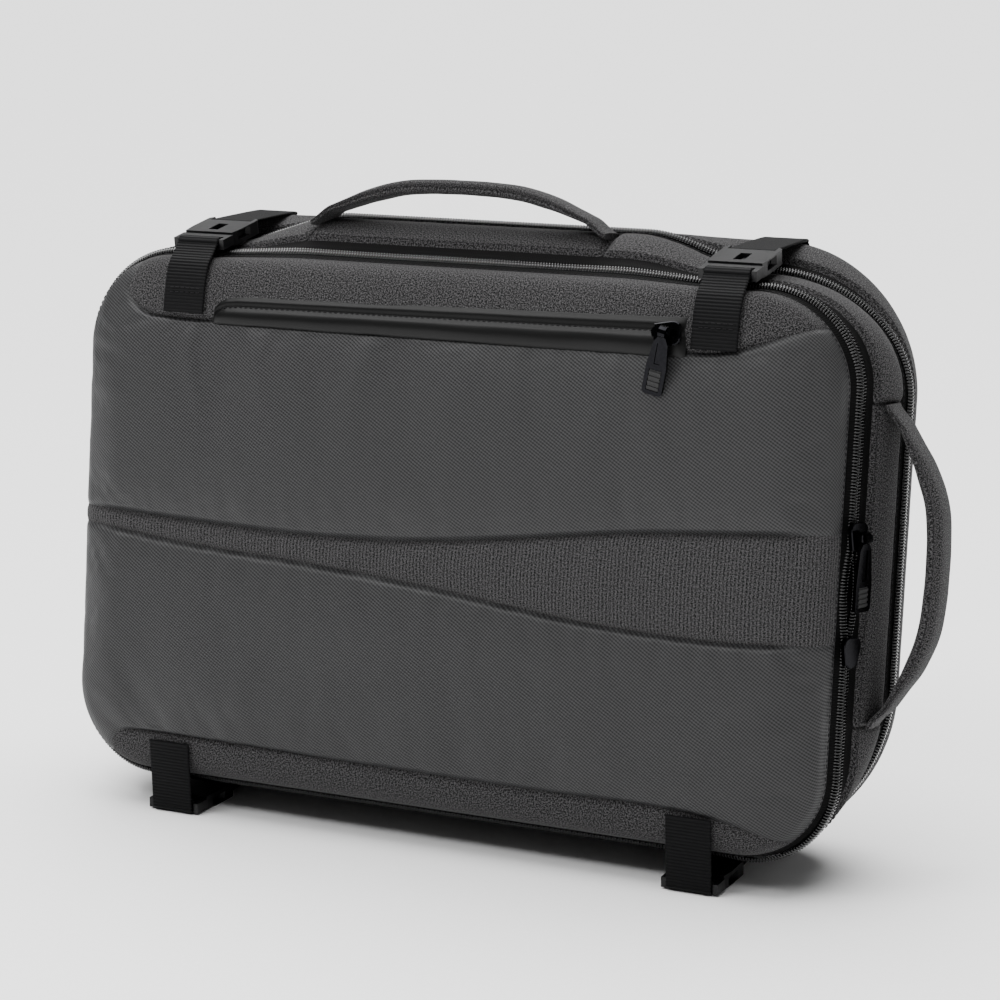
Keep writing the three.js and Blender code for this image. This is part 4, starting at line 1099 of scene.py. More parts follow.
def rubber_coated_cloth():
    """Smooth polyurethane-coated cloth of the pocket flap: satin with a broad soft highlight."""
    material, tree, shader = start_material("rubber coated cloth")
    grain = add_node(
        tree,
        "ShaderNodeTexNoise",
        None,
        {"Vector": cloth_places(tree, 0.5), "Scale": 1.0, "Detail": 2.0, "Roughness": 0.5},
    )
    shade = add_node(
        tree,
        "ShaderNodeMix",
        {"data_type": "RGBA"},
        {"A": (*linear("#050505"), 1), "B": (*linear("#0a0a0a"), 1), "Factor": grain.outputs["Fac"]},
    )
    bump = add_node(
        tree,
        "ShaderNodeBump",
        None,
        {"Height": grain.outputs["Fac"], "Strength": 0.15, "Distance": 0.06 * MM},
    )
    set_inputs(
        tree,
        shader,
        {
            "Base Color": shade.outputs["Result"],
            "Normal": bump.outputs[0],
            "Roughness": 0.38,
            "IOR": 1.5,
            "Specular IOR Level": 0.18,
        },
    )
    return material


def moulded_plastic(name, colour, rough, grain_size, depth, shine=0.4):
    """Injection moulded plastic: a fine spark-eroded grain that breaks up the shine."""
    material, tree, shader = start_material(name)
    place = add_node(tree, "ShaderNodeTexCoord")
    grain = add_node(
        tree,
        "ShaderNodeTexNoise",
        None,
        {"Vector": place.outputs["Object"], "Scale": 1 / (grain_size * MM), "Detail": 2.0},
    )
    wear = add_node(
        tree,
        "ShaderNodeTexNoise",
        None,
        {"Vector": place.outputs["Object"], "Scale": 1 / (9 * MM), "Detail": 3.0},
    )
    polish = add_node(
        tree,
        "ShaderNodeMapRange",
        None,
        {"Value": wear.outputs["Fac"], "To Min": rough - 0.07, "To Max": rough + 0.07},
    )
    shade = add_node(
        tree,
        "ShaderNodeMix",
        {"data_type": "RGBA"},
        {
            "A": (*linear(colour), 1),
            "B": (*(c * 1.5 + 0.002 for c in linear(colour)), 1),
            "Factor": wear.outputs["Fac"],
        },
    )
    bump = add_node(
        tree,
        "ShaderNodeBump",
        None,
        {"Height": grain.outputs["Fac"], "Strength": 0.3, "Distance": depth * MM},
    )
    set_inputs(
        tree,
        shader,
        {
            "Base Color": shade.outputs["Result"],
            "Roughness": polish.outputs[0],
            "Normal": bump.outputs[0],
            "IOR": 1.48,
            "Specular IOR Level": shine,
        },
    )
    return material


def plated_zinc():
    """Black-nickel plated zinc alloy die casting: dark mirror, softened by tumbling marks."""
    material, tree, shader = start_material("black plated zinc alloy")
    place = add_node(tree, "ShaderNodeTexCoord")
    marks = add_node(
        tree,
        "ShaderNodeTexNoise",
        None,
        {"Vector": place.outputs["Object"], "Scale": 1 / (1.5 * MM), "Detail": 4.0},
    )
    polish = add_node(
        tree,
        "ShaderNodeMapRange",
        None,
        {"Value": marks.outputs["Fac"], "To Min": 0.12, "To Max": 0.28},
    )
    bump = add_node(
        tree,
        "ShaderNodeBump",
        None,
        {"Height": marks.outputs["Fac"], "Strength": 0.1, "Distance": 0.04 * MM},
    )
    shade = add_node(
        tree,
        "ShaderNodeMix",
        {"data_type": "RGBA"},
        {"A": (*linear("#101012"), 1), "B": (*linear("#1e1e20"), 1), "Factor": marks.outputs["Fac"]},
    )
    set_inputs(
        tree,
        shader,
        {
            "Base Color": shade.outputs["Result"],
            "Roughness": polish.outputs[0],
            "Normal": bump.outputs[0],
            "Metallic": 1.0,
        },
    )
    return material


def air_mesh():
    """Knitted spacer mesh of the back panel: matt black with rows of small round holes. The holes are
    painted darker, as painted shade inside them.
    """
    material, tree, shader = start_material("knitted spacer mesh")
    cells = add_node(
        tree,
        "ShaderNodeTexVoronoi",
        {"feature": "F1"},
        {"Vector": cloth_places(tree, 2.6), "Scale": 1.0, "Randomness": 0.15},
    )
    holes = add_node(
        tree,
        "ShaderNodeMapRange",
        {"interpolation_type": "SMOOTHSTEP"},
        {"Value": cells.outputs["Distance"], "From Min": 0.18, "From Max": 0.42},
    )
    # Painted shade: the colour is darker inside the holes
    shade = add_node(
        tree,
        "ShaderNodeMix",
        {"data_type": "RGBA"},
        {"A": (*linear("#060607"), 1), "B": (*linear("#171618"), 1), "Factor": holes.outputs[0]},
    )
    bump = add_node(
        tree,
        "ShaderNodeBump",
        None,
        {"Height": holes.outputs[0], "Strength": 0.9, "Distance": 0.8 * MM},
    )
    set_inputs(
        tree,
        shader,
        {
            "Base Color": shade.outputs["Result"],
            "Normal": bump.outputs[0],
            "Roughness": 0.95,
            "Specular IOR Level": 0.15,
        },
    )
    return material


def studio_floor():
    """Seamless paper sweep: matt off-white with a barely visible tooth."""
    material, tree, shader = start_material("studio paper")
    place = add_node(tree, "ShaderNodeTexCoord")
    tooth = add_node(
        tree,
        "ShaderNodeTexNoise",
        None,
        {"Vector": place.outputs["Object"], "Scale": 300.0, "Detail": 2.0},
    )
    bump = add_node(
        tree,
        "ShaderNodeBump",
        None,
        {"Height": tooth.outputs["Fac"], "Strength": 0.05, "Distance": 0.1 * MM},
    )
    shade = add_node(
        tree,
        "ShaderNodeMix",
        {"data_type": "RGBA"},
        {"A": (*linear("#f6f6f6"), 1), "B": (*linear("#fafafa"), 1), "Factor": tooth.outputs["Fac"]},
    )
    set_inputs(
        tree,
        shader,
        {
            "Base Color": shade.outputs["Result"],
            "Normal": bump.outputs[0],
            "Roughness": 0.9,
        },
    )
    return material


def material_set(cloth):
    """Every finish, made once."""
    made = {
        "twill": lambda: coated_twill(cloth),
        "melange": lambda: melange_polyester(cloth, "melange polyester", 0.15),
        "ribbed melange": lambda: melange_polyester(cloth, "ribbed melange polyester", 0.55),
        # Webbing, zip tape and thread: the dark colour is painted shade in the rib troughs, the light one
        # a painted highlight on the ribs
        "webbing": lambda: ribbed_cloth(
            "nylon webbing", "#000001", "#0c0c0d", 1.8, 0.65, math.radians(90), 0.45
        ),
        "zip tape": lambda: ribbed_cloth(
            "polyester zip tape", "#000000", "#060606", 1.3, 0.85, math.radians(90), 0.2
        ),
        "thread": lambda: ribbed_cloth(
            "bonded polyester thread", "#111011", "#232224", 0.5, 0.6, 0, 0.1
        ),
        "welt": rubber_coated_cloth,
        "mesh": air_mesh,
        "coil": lambda: moulded_plastic(
            "polyester coil monofilament", "#020202", 0.16, 0.4, 0.01, 0.6
        ),
        "acetal": lambda: moulded_plastic("moulded acetal", "#040405", 0.4, 0.35, 0.02, 0.28),
        "rubber": lambda: moulded_plastic("soft pull rubber", "#060606", 0.5, 0.3, 0.03),
        "zinc": plated_zinc,
        "floor": studio_floor,
    }
    for name, make in made.items():
        if name not in finishes:
            finishes[name] = make()


finishes = {}


class BackpackCloth(bpy.types.PropertyGroup):
    """Colours and thread spacings of the cloths."""

    # Twill colours: the cloth's grey, with painted shade between its threads and a painted highlight on
    # them
    twill_grey_with_painted_shade: FloatVectorProperty(
        name="Twill dark", description="Coated twill between its threads", subtype="COLOR",
        default=linear("#040404"),
    )
    twill_grey_with_painted_highlight: FloatVectorProperty(
        name="Twill light", description="Coated twill on its threads", subtype="COLOR",
        default=linear("#3c3c3d"),
    )
    melange_dark: FloatVectorProperty(
        name="Melange dark", description="Dark fibres of the melange cloth", subtype="COLOR",
        default=linear("#020202"),
    )
    melange_light: FloatVectorProperty(
        name="Melange light", description="Light fibres of the melange cloth", subtype="COLOR",
        default=linear("#4d4c4d"),
    )
    twill_spacing: FloatProperty(
        name="Twill spacing", description="Distance between thread crossings", unit="LENGTH",
        default=1.5 * MM,
    )
    melange_spacing: FloatProperty(
        name="Melange spacing", description="Size of the specks", unit="LENGTH", default=0.6 * MM,
    )
    rib_spacing: FloatProperty(
        name="Rib spacing", description="Distance between the ribs of the inset", unit="LENGTH",
        default=2.0 * MM,
    )


class BackpackSizes(bpy.types.PropertyGroup):
    """Sizes of seams, stitches and zip teeth."""

    seam_depth: FloatProperty(
        name="Seam depth", description="How far cloth rolls down into a seam", unit="LENGTH",
        default=2.3 * MM,
    )
    seam_width: FloatProperty(
        name="Seam width", description="How wide the roll at a seam is", unit="LENGTH", default=1.9 * MM,
    )
    fold_depth: FloatProperty(
        name="Turned edge", description="How far cloth turns in under its edge", unit="LENGTH",
        default=3.0 * MM,
    )
    swell: FloatProperty(
        name="Swell", description="How far padded cloth stands up between its seams", unit="LENGTH",
        default=1.0 * MM,
    )
    pucker: FloatProperty(
        name="Pucker", description="Height of the small gathers along a seam", unit="LENGTH",
        default=0.35 * MM,
    )
    cloth_grid: FloatProperty(
        name="Cloth grid", description="Mesh size of the cloth simulation", unit="LENGTH",
        default=4.5 * MM,
    )
    cloth_ease: FloatProperty(
        name="Cloth ease", description="Share by which a panel is cut larger than its place",
        default=0.008,
    )
    padding_push: FloatProperty(
        name="Padding push", description="Pressure of the padding behind a panel, in pascals",
        default=6.0,
    )
    cloth_limit: FloatProperty(
        name="Cloth limit", description="How far a panel may stand out or sink", unit="LENGTH",
        default=3.0 * MM,
    )
    tooth_pitch: FloatProperty(
        name="Tooth pitch", description="Distance between coil turns of a zip", unit="LENGTH",
        default=1.6 * MM,
    )
    stitch_pitch: FloatProperty(
        name="Stitch pitch", description="Distance between stitches", unit="LENGTH", default=3.2 * MM,
    )
    stitch_length: FloatProperty(
        name="Stitch length", description="Length of a stitch", unit="LENGTH", default=2.3 * MM,
    )
    thread_radius: FloatProperty(
        name="Thread radius", description="Radius of the sewing thread", unit="LENGTH",
        default=0.28 * MM,
    )


class BackpackStage(bpy.types.PropertyGroup):
    """Camera, floor and lights."""

    azimuth: FloatProperty(
        name="Azimuth", description="Camera's turn round the bag", subtype="ANGLE",
        default=math.radians(24.946),
    )
    elevation: FloatProperty(
        name="Elevation", description="Camera's height over the horizon", subtype="ANGLE",
        default=math.radians(12.248),
    )
    distance: FloatProperty(
        name="Distance", description="Camera's distance from the middle of the bag", unit="LENGTH",
        default=1.5,
    )
    lens: FloatProperty(
        name="Lens", description="Focal length in millimetres", unit="CAMERA", default=100.88,
    )
    room_light: FloatProperty(
        name="Room light", description="Strength of the light from the room", default=0.14,
    )
    backdrop: FloatProperty(
        name="Backdrop", description="Brightness of the white backdrop", default=2.4,
    )
    sun: FloatProperty(
        name="Ceiling light", description="Even light from the whole studio ceiling", default=7.5,
    )
    floor_half: FloatProperty(
        name="Floor reach", description="Distance from the bag to the floor's edge", unit="LENGTH",
        default=30.0,
    )
    key_power: FloatProperty(
        name="Soft box power", description="Power that the soft boxes take their shares of",
        unit="POWER", default=34,
    )


# Main functions of the pieces


def front_lines():
    """The seams of the front shell on its flat pattern."""
    count = 900
    return {
        "top": seam_line(TOP_SEAM, count),
        "inset_top": seam_line(INSET_TOP_SEAM, count),
        "inset_base": seam_line(INSET_BASE_SEAM, count),
        "base": seam_line(BASE_SEAM, count),
    }


def panel_grid(lower, upper, columns, rows):
    """Flat grid of a panel between two seams, from rim to rim."""
    low_line, low_left, low_right = lower
    high_line, high_left, high_right = upper
    left = rim_line(low_left, high_left, 400)
    right = rim_line(low_right, high_right, 400)
    return patch(low_line, high_line, left, right, clustered(columns, 0.15), clustered(rows))


def band_grid(seam, rim, columns, rows):
    """Flat grid of a band between a seam and the rim, which meet at both ends."""
    across = clustered(columns, 0.3)[1:-1]
    up = clustered(rows)[:, None, None]
    seam = at_shares(seam, across)
    rim = at_shares(rim, across)
    return (1 - up) * seam + up * rim


def make_front_panels(context):
    sizes = context.scene.backpack_sizes
    lines = front_lines()
    top_line, top_left, top_right = lines["top"]
    base_line, base_left, base_right = lines["base"]
    pieces = {
        "front_panel_upper": (panel_grid(lines["inset_top"], lines["top"], 260, 84), "twill", 1.0),
        "front_inset": (
            panel_grid(lines["inset_base"], lines["inset_top"], 260, 40), "ribbed melange", 0.3,
        ),
        "front_panel_lower": (panel_grid(lines["base"], lines["inset_base"], 260, 84), "twill", 1.0),
        "front_top_band": (
            band_grid(top_line, rim_line(top_left, top_right, 900), 260, 34), "melange", 0.0,
        ),
        "front_bottom_band": (
            band_grid(base_line, rim_line(base_left, base_right + 4, 900), 260, 30), "melange", 0.0,
        ),
    }
    for seed, (node, (grid, finish, folds)) in enumerate(pieces.items()):
        piece = front_sheet(
            f"{node}_cloth", grid, finishes[finish], sizes, seed + 1, folds
        )
        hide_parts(node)


# Section of the welt from its lower edge up: share of its height, and how far it stands out
WELT_PROFILE = evenly(
    row_at(
        np.array(
            [
                (0, 0.2), (0.1, 1.7), (0.3, 2.5), (0.5, 2.2),
                (0.62, 1.2), (0.68, 0.9), (0.84, 1.2), (1, 0.2),
            ]
        ),
        np.linspace(0, 7, 200),
    ),
    400,
)
# Where the welt's stitches run, as a share of its height, and how far they stand out
WELT_STITCH = 0.65
WELT_STITCH_LIFT = 1.15
WELT_END_ROUND = 3
WELT_FOLD = 3.4


def make_pocket_welt(context):
    columns, rows = 240, 40
    x = (WELT_LEFT + (WELT_RIGHT - WELT_LEFT) * clustered(columns, 0.2)) * HALF_LENGTH
    top = np.interp(x, WELT_TOP[:, 0] * HALF_LENGTH, ZIP_RISE + WELT_TOP[:, 1] * ZIP_HEIGHT)
    low = np.full_like(x, ZIP_RISE + WELT_BASE * ZIP_HEIGHT)
    up = clustered(rows, 0.4)[:, None]
    z = low + (top - low) * up
    grid = np.stack([np.broadcast_to(x, z.shape), z], -1)
    normals = front_normal(grid)
    from_end = np.minimum(x - x[0], x[-1] - x)
    round_end = 1 - np.exp(-from_end / WELT_END_ROUND)
    bulge = np.interp(up, WELT_PROFILE[:, 0], WELT_PROFILE[:, 1])
    ripple = 0.15 * wander(grid[..., 0], grid[..., 1] * 3, 60, 3)
    points = front_surface(grid) + normals * (bulge * round_end + ripple)[..., None]
    points = turned_in(points, normals, WELT_FOLD)
    cloth = np.pad(grid, ((1, 1), (1, 1), (0, 0)), mode="edge")
    piece = sheet_piece("pocket_welt_flap", points, cloth, finishes["welt"])
    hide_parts("pocket_welt")
    line = np.stack([x, low + (top - low) * WELT_STITCH], -1)[8:-8]
    out = front_normal(line)
    make_stitches(
        "pocket_welt_stitches",
        [(leaned(front_surface(line) + out * WELT_STITCH_LIFT), turned(out))],
        context.scene.backpack_sizes,
    )


GUSSET_START = run_at_depth(ZIP_SHOW)
GUSSET_END = run_at_depth(REAR_ZIP_DEPTH - ZIP_SHOW)
REAR_START = run_at_depth(REAR_ZIP_DEPTH + ZIP_SHOW)


def top_place(x, run):
    """Place round the body at an x of its upper edge."""
    _, wide, _, _, top, _, _ = section_at(run)
    straight = wide - top
    return 2 + (straight - x) / (4 * straight)


def side_place(z, run):
    """Place round the body at a height of its right side."""
    _, _, low, high, top, base, _ = section_at(run)
    return 1 + (z - low - base) / (2 * (high - top - low - base))


def even_places(start, end, run, count):
    """Places round the body between two places, at even distances."""
    around = start + (end - start) * np.linspace(0, 1, 1600)
    length = arc_lengths(body_point(around, run))
    return np.interp(np.linspace(0, length[-1], count), length, around)


def band_sheet(name, node, start_at, end_at, runs, columns, finish, sizes, seed):
    """Cloth band round the body between two places that may change with the run."""
    around = np.stack([even_places(start_at(r), end_at(r), r, columns) for r in runs])
    run = np.broadcast_to(runs[:, None], around.shape)
    surface = body_point(around, run)
    side = np.linalg.norm(np.diff(surface, axis=1), axis=-1)
    deep = np.linalg.norm(np.diff(surface, axis=0), axis=-1)
    along = np.concatenate([np.zeros((len(runs), 1)), np.cumsum(side, 1)], 1)
    across = np.concatenate([np.zeros((1, columns)), np.cumsum(deep, 0)])
    distance = np.minimum.reduce([along, along[:, -1:] - along, across, across[-1:] - across])
    cloth = np.stack([across, along], -1)
    height = seam_relief(distance, np.stack([along, across * 1.7], -1), sizes, seed)
    normals = body_normal(around, run)
    points = turned_in(surface + normals * height[..., None], normals, sizes.fold_depth / MM)
    cloth = np.pad(cloth, ((1, 1), (1, 1), (0, 0)), mode="edge")
    piece = sheet_piece(name, points, cloth, finishes[finish])
    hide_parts(node)


TOP_HANDLE_START = TOP_HANDLE_CENTRE - TOP_HANDLE_LENGTH / 2
TOP_HANDLE_END = TOP_HANDLE_CENTRE + TOP_HANDLE_LENGTH / 2
SIDE_HANDLE_START = SIDE_HANDLE_CENTRE - SIDE_HANDLE_LENGTH / 2
SIDE_HANDLE_END = SIDE_HANDLE_CENTRE + SIDE_HANDLE_LENGTH / 2


def make_gussets(context):
    sizes = context.scene.backpack_sizes
    runs = GUSSET_START + (GUSSET_END - GUSSET_START) * clustered(22, 0.35)
    corners = {
        "top_start": lambda run: top_place(TOP_HANDLE_START, run),
        "top_end": lambda run: top_place(TOP_HANDLE_END, run),
        "side_end": lambda run: side_place(SIDE_HANDLE_END, run),
        "side_start": lambda run: side_place(SIDE_HANDLE_START, run),
        "wrap_start": lambda run: top_place(TOP_HANDLE_START, run) - 4,
    }
    bands = {
        "gusset_top_panel": ("top_end", "top_start", 110),
        "gusset_corner_panel": ("side_end", "top_end", 120),
        "gusset_side_panel": ("side_start", "side_end", 100),
        "gusset_wrap": ("wrap_start", "side_start", 520),
    }
    for seed, (node, (start, end, columns)) in enumerate(bands.items()):
        start_at, end_at = corners[start], corners[end]
        band_sheet(
            f"{node}_cloth", node, start_at, end_at, runs, columns, "melange", sizes, seed + 7,
        )


def keep_off_floor(piece):
    """Cloth that rests on the floor lies flat on it."""
    for vertex in piece.data.vertices:
        vertex.co.z = max(vertex.co.z, FLOOR_GAP * MM)


def make_rear_shell(context):
    sizes = context.scene.backpack_sizes
    columns = 620
    runs = REAR_START + (BACK_SEAM - REAR_START) * clustered(64, 0.3)
    around = np.stack([even_places(0.0, 4.0, r, columns + 1)[:-1] for r in runs])
    run = np.broadcast_to(runs[:, None], around.shape)
    surface = body_point(around, run)
    normals = body_normal(around, run)
    deep = np.linalg.norm(np.diff(surface, axis=0), axis=-1)
    across = np.concatenate([np.zeros((1, columns)), np.cumsum(deep, 0)])
    side = np.linalg.norm(np.diff(surface, axis=1), axis=-1)
    along = np.concatenate([np.zeros((len(runs), 1)), np.cumsum(side, 1)], 1)
    distance = np.minimum(across, across[-1:] - across)
    turn = around * math.pi / 2
    circle = np.stack([np.cos(turn), np.sin(turn)], -1) * 180
    height = seam_relief(distance, circle + across[..., None] * [0.6, 0.9], sizes, 4)
    points = surface + normals * height[..., None]
    points = np.pad(points, ((1, 1), (0, 0), (0, 0)), mode="edge")
    points[0] -= normals[0] * sizes.fold_depth / MM
    points[-1] -= normals[-1] * sizes.fold_depth / MM
    cloth = np.pad(np.stack([across, along], -1), ((1, 1), (0, 0), (0, 0)), mode="edge")
    piece = sheet_piece("rear_shell_cloth", points, cloth, finishes["melange"], closed=True)
    keep_off_floor(piece)
    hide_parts("rear_shell")


# Three sewn channels run up the back padding and let it bend: places and half width as shares of
# half the length, depth, and the distances from the seam between which they begin
CHANNELS = (-0.42, 0.0, 0.42)
CHANNEL_WIDTH = 0.014
CHANNEL_DEPTH = 2.6
CHANNEL_START = 8
CHANNEL_FULL = 22
PAD_RELIEF = 1.3
PAD_TUCK = 2.5


def make_back_panel(context):
    sizes = context.scene.backpack_sizes
    columns = 360
    last = len(REAR_ROWS) - 1
    runs = BACK_SEAM + (last - BACK_SEAM) * clustered(34, 0.3)
    around = even_places(0.0, 4.0, BACK_SEAM + 0.2, columns + 1)[:-1]
    around = np.broadcast_to(around, (len(runs), columns))
    run = np.broadcast_to(runs[:, None], around.shape)
    surface = body_point(around, run)
    distance = np.linalg.norm(surface - surface[:1], axis=-1)
    inside = np.array([0.0, 1.0, 0.0])
    height = seam_relief(distance, surface[..., [0, 2]], sizes, 9) * PAD_RELIEF
    for channel in CHANNELS:
        off = (surface[..., 0] / HALF_LENGTH - channel) / CHANNEL_WIDTH
        begun = smoothstep(distance, CHANNEL_START, CHANNEL_FULL)
        height -= CHANNEL_DEPTH * np.exp(-(off**2)) * begun
    points = surface + inside * height[..., None]
    rings = [0.75, 0.5, 0.25, 0.05, 0.0]
    middle = points[-1].mean(0)
    core = np.stack([middle + (points[-1] - middle) * share for share in rings])
    points = np.concatenate([points[:1] - inside * PAD_TUCK, points, core])
    piece = sheet_piece(
        "back_panel_padding", points, points[..., [0, 2]], finishes["mesh"], closed=True
    )
    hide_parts("back_panel")


def zip_path(depth, count):
    """Middle line of a zip round the body: points, outward normals and the ways along and across."""
    run = run_at_depth(depth)
    around = even_places(0.0, 4.0, run, count + 1)[:-1]
    points = body_point(around, run)
    outward = body_normal(around, run)
    along = unit(np.roll(points, -1, 0) - np.roll(points, 1, 0))
    across = unit(np.cross(along, outward))
    if across[..., 1].sum() < 0:
        across = -across
    return points, outward, along, across


def opening_at(points):
    """Half the gap between the tooth rows where the zip is open between its two sliders."""
    low = LOWER_SLIDER_PLACE + OPEN_ABOVE_LOWER
    high = UPPER_SLIDER_PLACE - OPEN_BELOW_UPPER
    share = np.clip((points[..., 2] - low) / (high - low), 0, 1)
    on_right = points[..., 0] > HALF_LENGTH - OPEN_SIDE_REACH
    return np.where(on_right, OPEN_HALF_GAP * np.sin(math.pi * share), 0)


def make_tape(name, node, depth, width):
    """Woven tape of a zip, with a shallow groove where the coil lies."""
    half = width / 2
    side = np.array([(1.2, -0.6), (3.6, -0.7), (4.6, -1.1), (6.2, -1.7), (half - 0.8, -2.2), (half, -2.6)])
    offsets = np.concatenate([-side[::-1, 0], [0], side[:, 0]])
    lifts = np.concatenate([side[::-1, 1], [-0.9], side[:, 1]])
    columns = 700
    around = np.stack([even_places(0.0, 4.0, run_at_depth(depth + o), columns + 1)[:-1] for o in offsets])
    run = np.array([run_at_depth(depth + o) for o in offsets])[:, None] * np.ones(columns)
    surface = body_point(around, run)
    points = surface + body_normal(around, run) * lifts[:, None, None]
    length = arc_lengths(surface[len(offsets) // 2])
    cloth = np.stack(np.broadcast_arrays(offsets[:, None], length[None, :]), -1)
    piece = sheet_piece(name, points, cloth, finishes["zip tape"], closed=True)
    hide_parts(node)


TOOTH_SIDE = np.array([(-0.5, 0.0), (-0.42, 0.7), (0.0, 1.0), (0.42, 0.7), (0.5, 0.0)])
TOOTH_ACROSS = np.array([(-0.5, 0.25), (-0.42, 0.8), (-0.15, 1.0), (0.06, 0.95), (0.14, 0.45)])


def make_teeth(name, depth, pitch, opened=False):
    """Two rows of coil turns that mesh along the middle of the tape."""
    dense = 4000
    points, outward, along, across = zip_path(depth, dense)
    length = arc_lengths(np.vstack([points, points[:1]]))
    count = int(length[-1] / pitch)
    vertices = []
    for row in (-1, 1):
        at = (np.arange(count) + (0.25 if row > 0 else 0.75)) * length[-1] / count
        index = np.interp(at, length, np.arange(dense + 1))
        whole = np.floor(index).astype(int) % dense
        near = (whole + 1) % dense
        share = (index % 1)[:, None]
        place = points[whole] * (1 - share) + points[near] * share
        out, way, side = outward[whole], along[whole], across[whole] * row
        gap = opening_at(place) if opened else np.zeros(count)
        for step, rise in TOOTH_ACROSS:
            reach = -step * COIL_WIDTH + gap
            for shift, high in TOOTH_SIDE:
                vertices.append(
                    place
                    + side * reach[:, None]
                    + way * shift * pitch * TOOTH_SHARE
                    + out * (high * rise * (COIL_HEIGHT + TOOTH_SINK) - TOOTH_SINK)
                )
    per_tooth = len(TOOTH_ACROSS) * len(TOOTH_SIDE)
    vertices = np.array(vertices).reshape(2, per_tooth, count, 3).transpose(0, 2, 1, 3).reshape(-1, 3)
    faces = grid_faces(len(TOOTH_ACROSS), len(TOOTH_SIDE))
    faces = (np.arange(2 * count)[:, None, None] * per_tooth + faces[None]).reshape(-1, 4)
    piece = mesh_piece(name, stand(vertices), faces, finishes["coil"])
    outward_faces(piece)


def outward_faces(piece):
    """Turns every face of a piece outward."""
    work = bmesh.new()
    work.from_mesh(piece.data)
    bmesh.ops.recalc_face_normals(work, faces=work.faces)
    work.to_mesh(piece.data)
    work.free()


def make_zips(context):
    pitch = context.scene.backpack_sizes.tooth_pitch / MM
    make_tape("main_zip_tape", "main_zip", 0, MAIN_TAPE)
    make_tape("rear_zip_tape", "rear_zip", REAR_ZIP_DEPTH, REAR_TAPE)
    make_teeth("main_zip_coil", 0, pitch, opened=True)
    make_teeth("rear_zip_coil", REAR_ZIP_DEPTH, pitch)


def edge_height(x, run, upper):
    """Height of the upper or lower edge of the body's section at an x."""
    _, wide, low, high, top, base, dip = section_at(run)
    radius = top if upper else base
    past = np.maximum(0, abs(x) - (wide - radius))
    drop = radius - np.sqrt(np.maximum(0, radius * radius - past * past))
    if upper:
        return high - drop - dip * smoothstep(abs(x), DIP_START, DIP_END)
    return low + drop


def profile_point(x, run, upper, offset):
    """Side view point of the body, as depth and height, moved out by an offset."""
    step = 0.05

    def at(place):
        return np.stack([section_at(place)[0], edge_height(x, place, upper)], -1)

    along = unit(at(run + step) - at(run - step))
    turn = 1 if upper else -1
    return at(run) + np.stack([-along[..., 1] * turn, along[..., 0] * turn], -1) * offset


def face_run(x, z, upper):
    """Front run at which the body's edge comes to a height."""
    runs = np.linspace(-len(FRONT_ROWS) + 1, 0, 4001)
    heights = edge_height(x, runs, upper)
    order = np.argsort(heights)
    return float(np.interp(z, heights[order], runs[order]))


def seam_height(rows, x):
    points = row_at(rows, np.linspace(1, len(rows) - 1, 2000)) * [HALF_LENGTH, ZIP_HEIGHT]
    return ZIP_RISE + float(np.interp(x, points[:, 0], points[:, 1]))


LOOP_MIDDLE = BAR_RADIUS + GAP + WEB_THICK / 2
WEB_SEAT = REST + WEB_THICK / 2

# Degrees between the points of a strap's loop round a bar
LOOP_STEP = 25


def buckle_bars(start, tilt):
    """Side view middles of a buckle's plug bar and socket bar."""
    along = np.array([math.cos(tilt), math.sin(tilt)])
    return start + along * BAR_RADIUS, start + along * (PLUG_BASE + GAP + SOCKET_LENGTH - BAR_RADIUS)


def on_loop(bar, angles):
    angles = np.radians(np.atleast_1d(angles))
    return bar + LOOP_MIDDLE * np.stack([np.cos(angles), np.sin(angles)], -1)


def rounded_path(points, count):
    """Smooth line through side view points."""
    points = np.asarray(points, float)
    return evenly(row_at(points, np.linspace(0, len(points) - 1, count * 3)), count)


def make_webbing(name, node, path, side, level):
    """Flat strap along a side view path: a woven band with rounded selvedges. A level one keeps
    to the floor and doesn't lean back with the bag."""
    half = WEB_WIDTH / 2
    thick = WEB_THICK / 2
    section = np.array(
        [
            (-half, 0), (-half + 0.3, thick * 0.8), (-half + 1.2, thick), (-half / 2, thick * 0.92),
            (0, thick * 0.96), (half / 2, thick * 0.92), (half - 1.2, thick), (half - 0.3, thick * 0.8),
            (half, 0), (half - 0.3, -thick * 0.8), (half - 1.2, -thick), (0, -thick),
            (-half + 1.2, -thick), (-half + 0.3, -thick * 0.8),
        ]
    )
    along = unit(np.gradient(path, axis=0))
    out = np.stack([-along[:, 1], along[:, 0]], -1)
    length = arc_lengths(path)
    rows = len(path)
    x = side * STRAP_CENTRE + section[None, :, 0] * np.ones((rows, 1))
    lift = section[None, :, 1]
    y = path[:, 0:1] + out[:, 0:1] * lift
    z = path[:, 1:2] + out[:, 1:2] * lift
    points = np.stack([x, y, z], -1)
    cloth = np.stack(np.broadcast_arrays(section[None, :, 0], length[:, None]), -1)
    flat = points.reshape(-1, 3)
    placed = (flat + SHIFT) * MM if level else stand(flat)
    faces = grid_faces(rows, len(section), closed_columns=True)
    caps = [list(range(len(section))), list(range((rows - 1) * len(section), rows * len(section)))]
    piece = mesh_piece(
        name, placed, faces, finishes["webbing"], cloth.reshape(-1, 2)
    )
    add_caps(piece, caps)
    outward_faces(piece)
    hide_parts(node)


def add_caps(piece, caps):
    """Closes open rings of a piece with flat faces."""
    work = bmesh.new()
    work.from_mesh(piece.data)
    work.verts.ensure_lookup_table()
    for ring in caps:
        face = work.faces.new([work.verts[index] for index in ring])
        face.smooth = False
    work.to_mesh(piece.data)
    work.free()


def turned(vectors):
    """Directions of the bag as it leans back."""
    return leaned(vectors) - leaned(np.zeros(3))


def leaned_side(points):
    """Side view points of the leaning bag, as it stands on the floor."""
    solid = leaned(np.stack([np.zeros(len(points)), points[:, 0], points[:, 1]], -1))
    return solid[:, 1:]


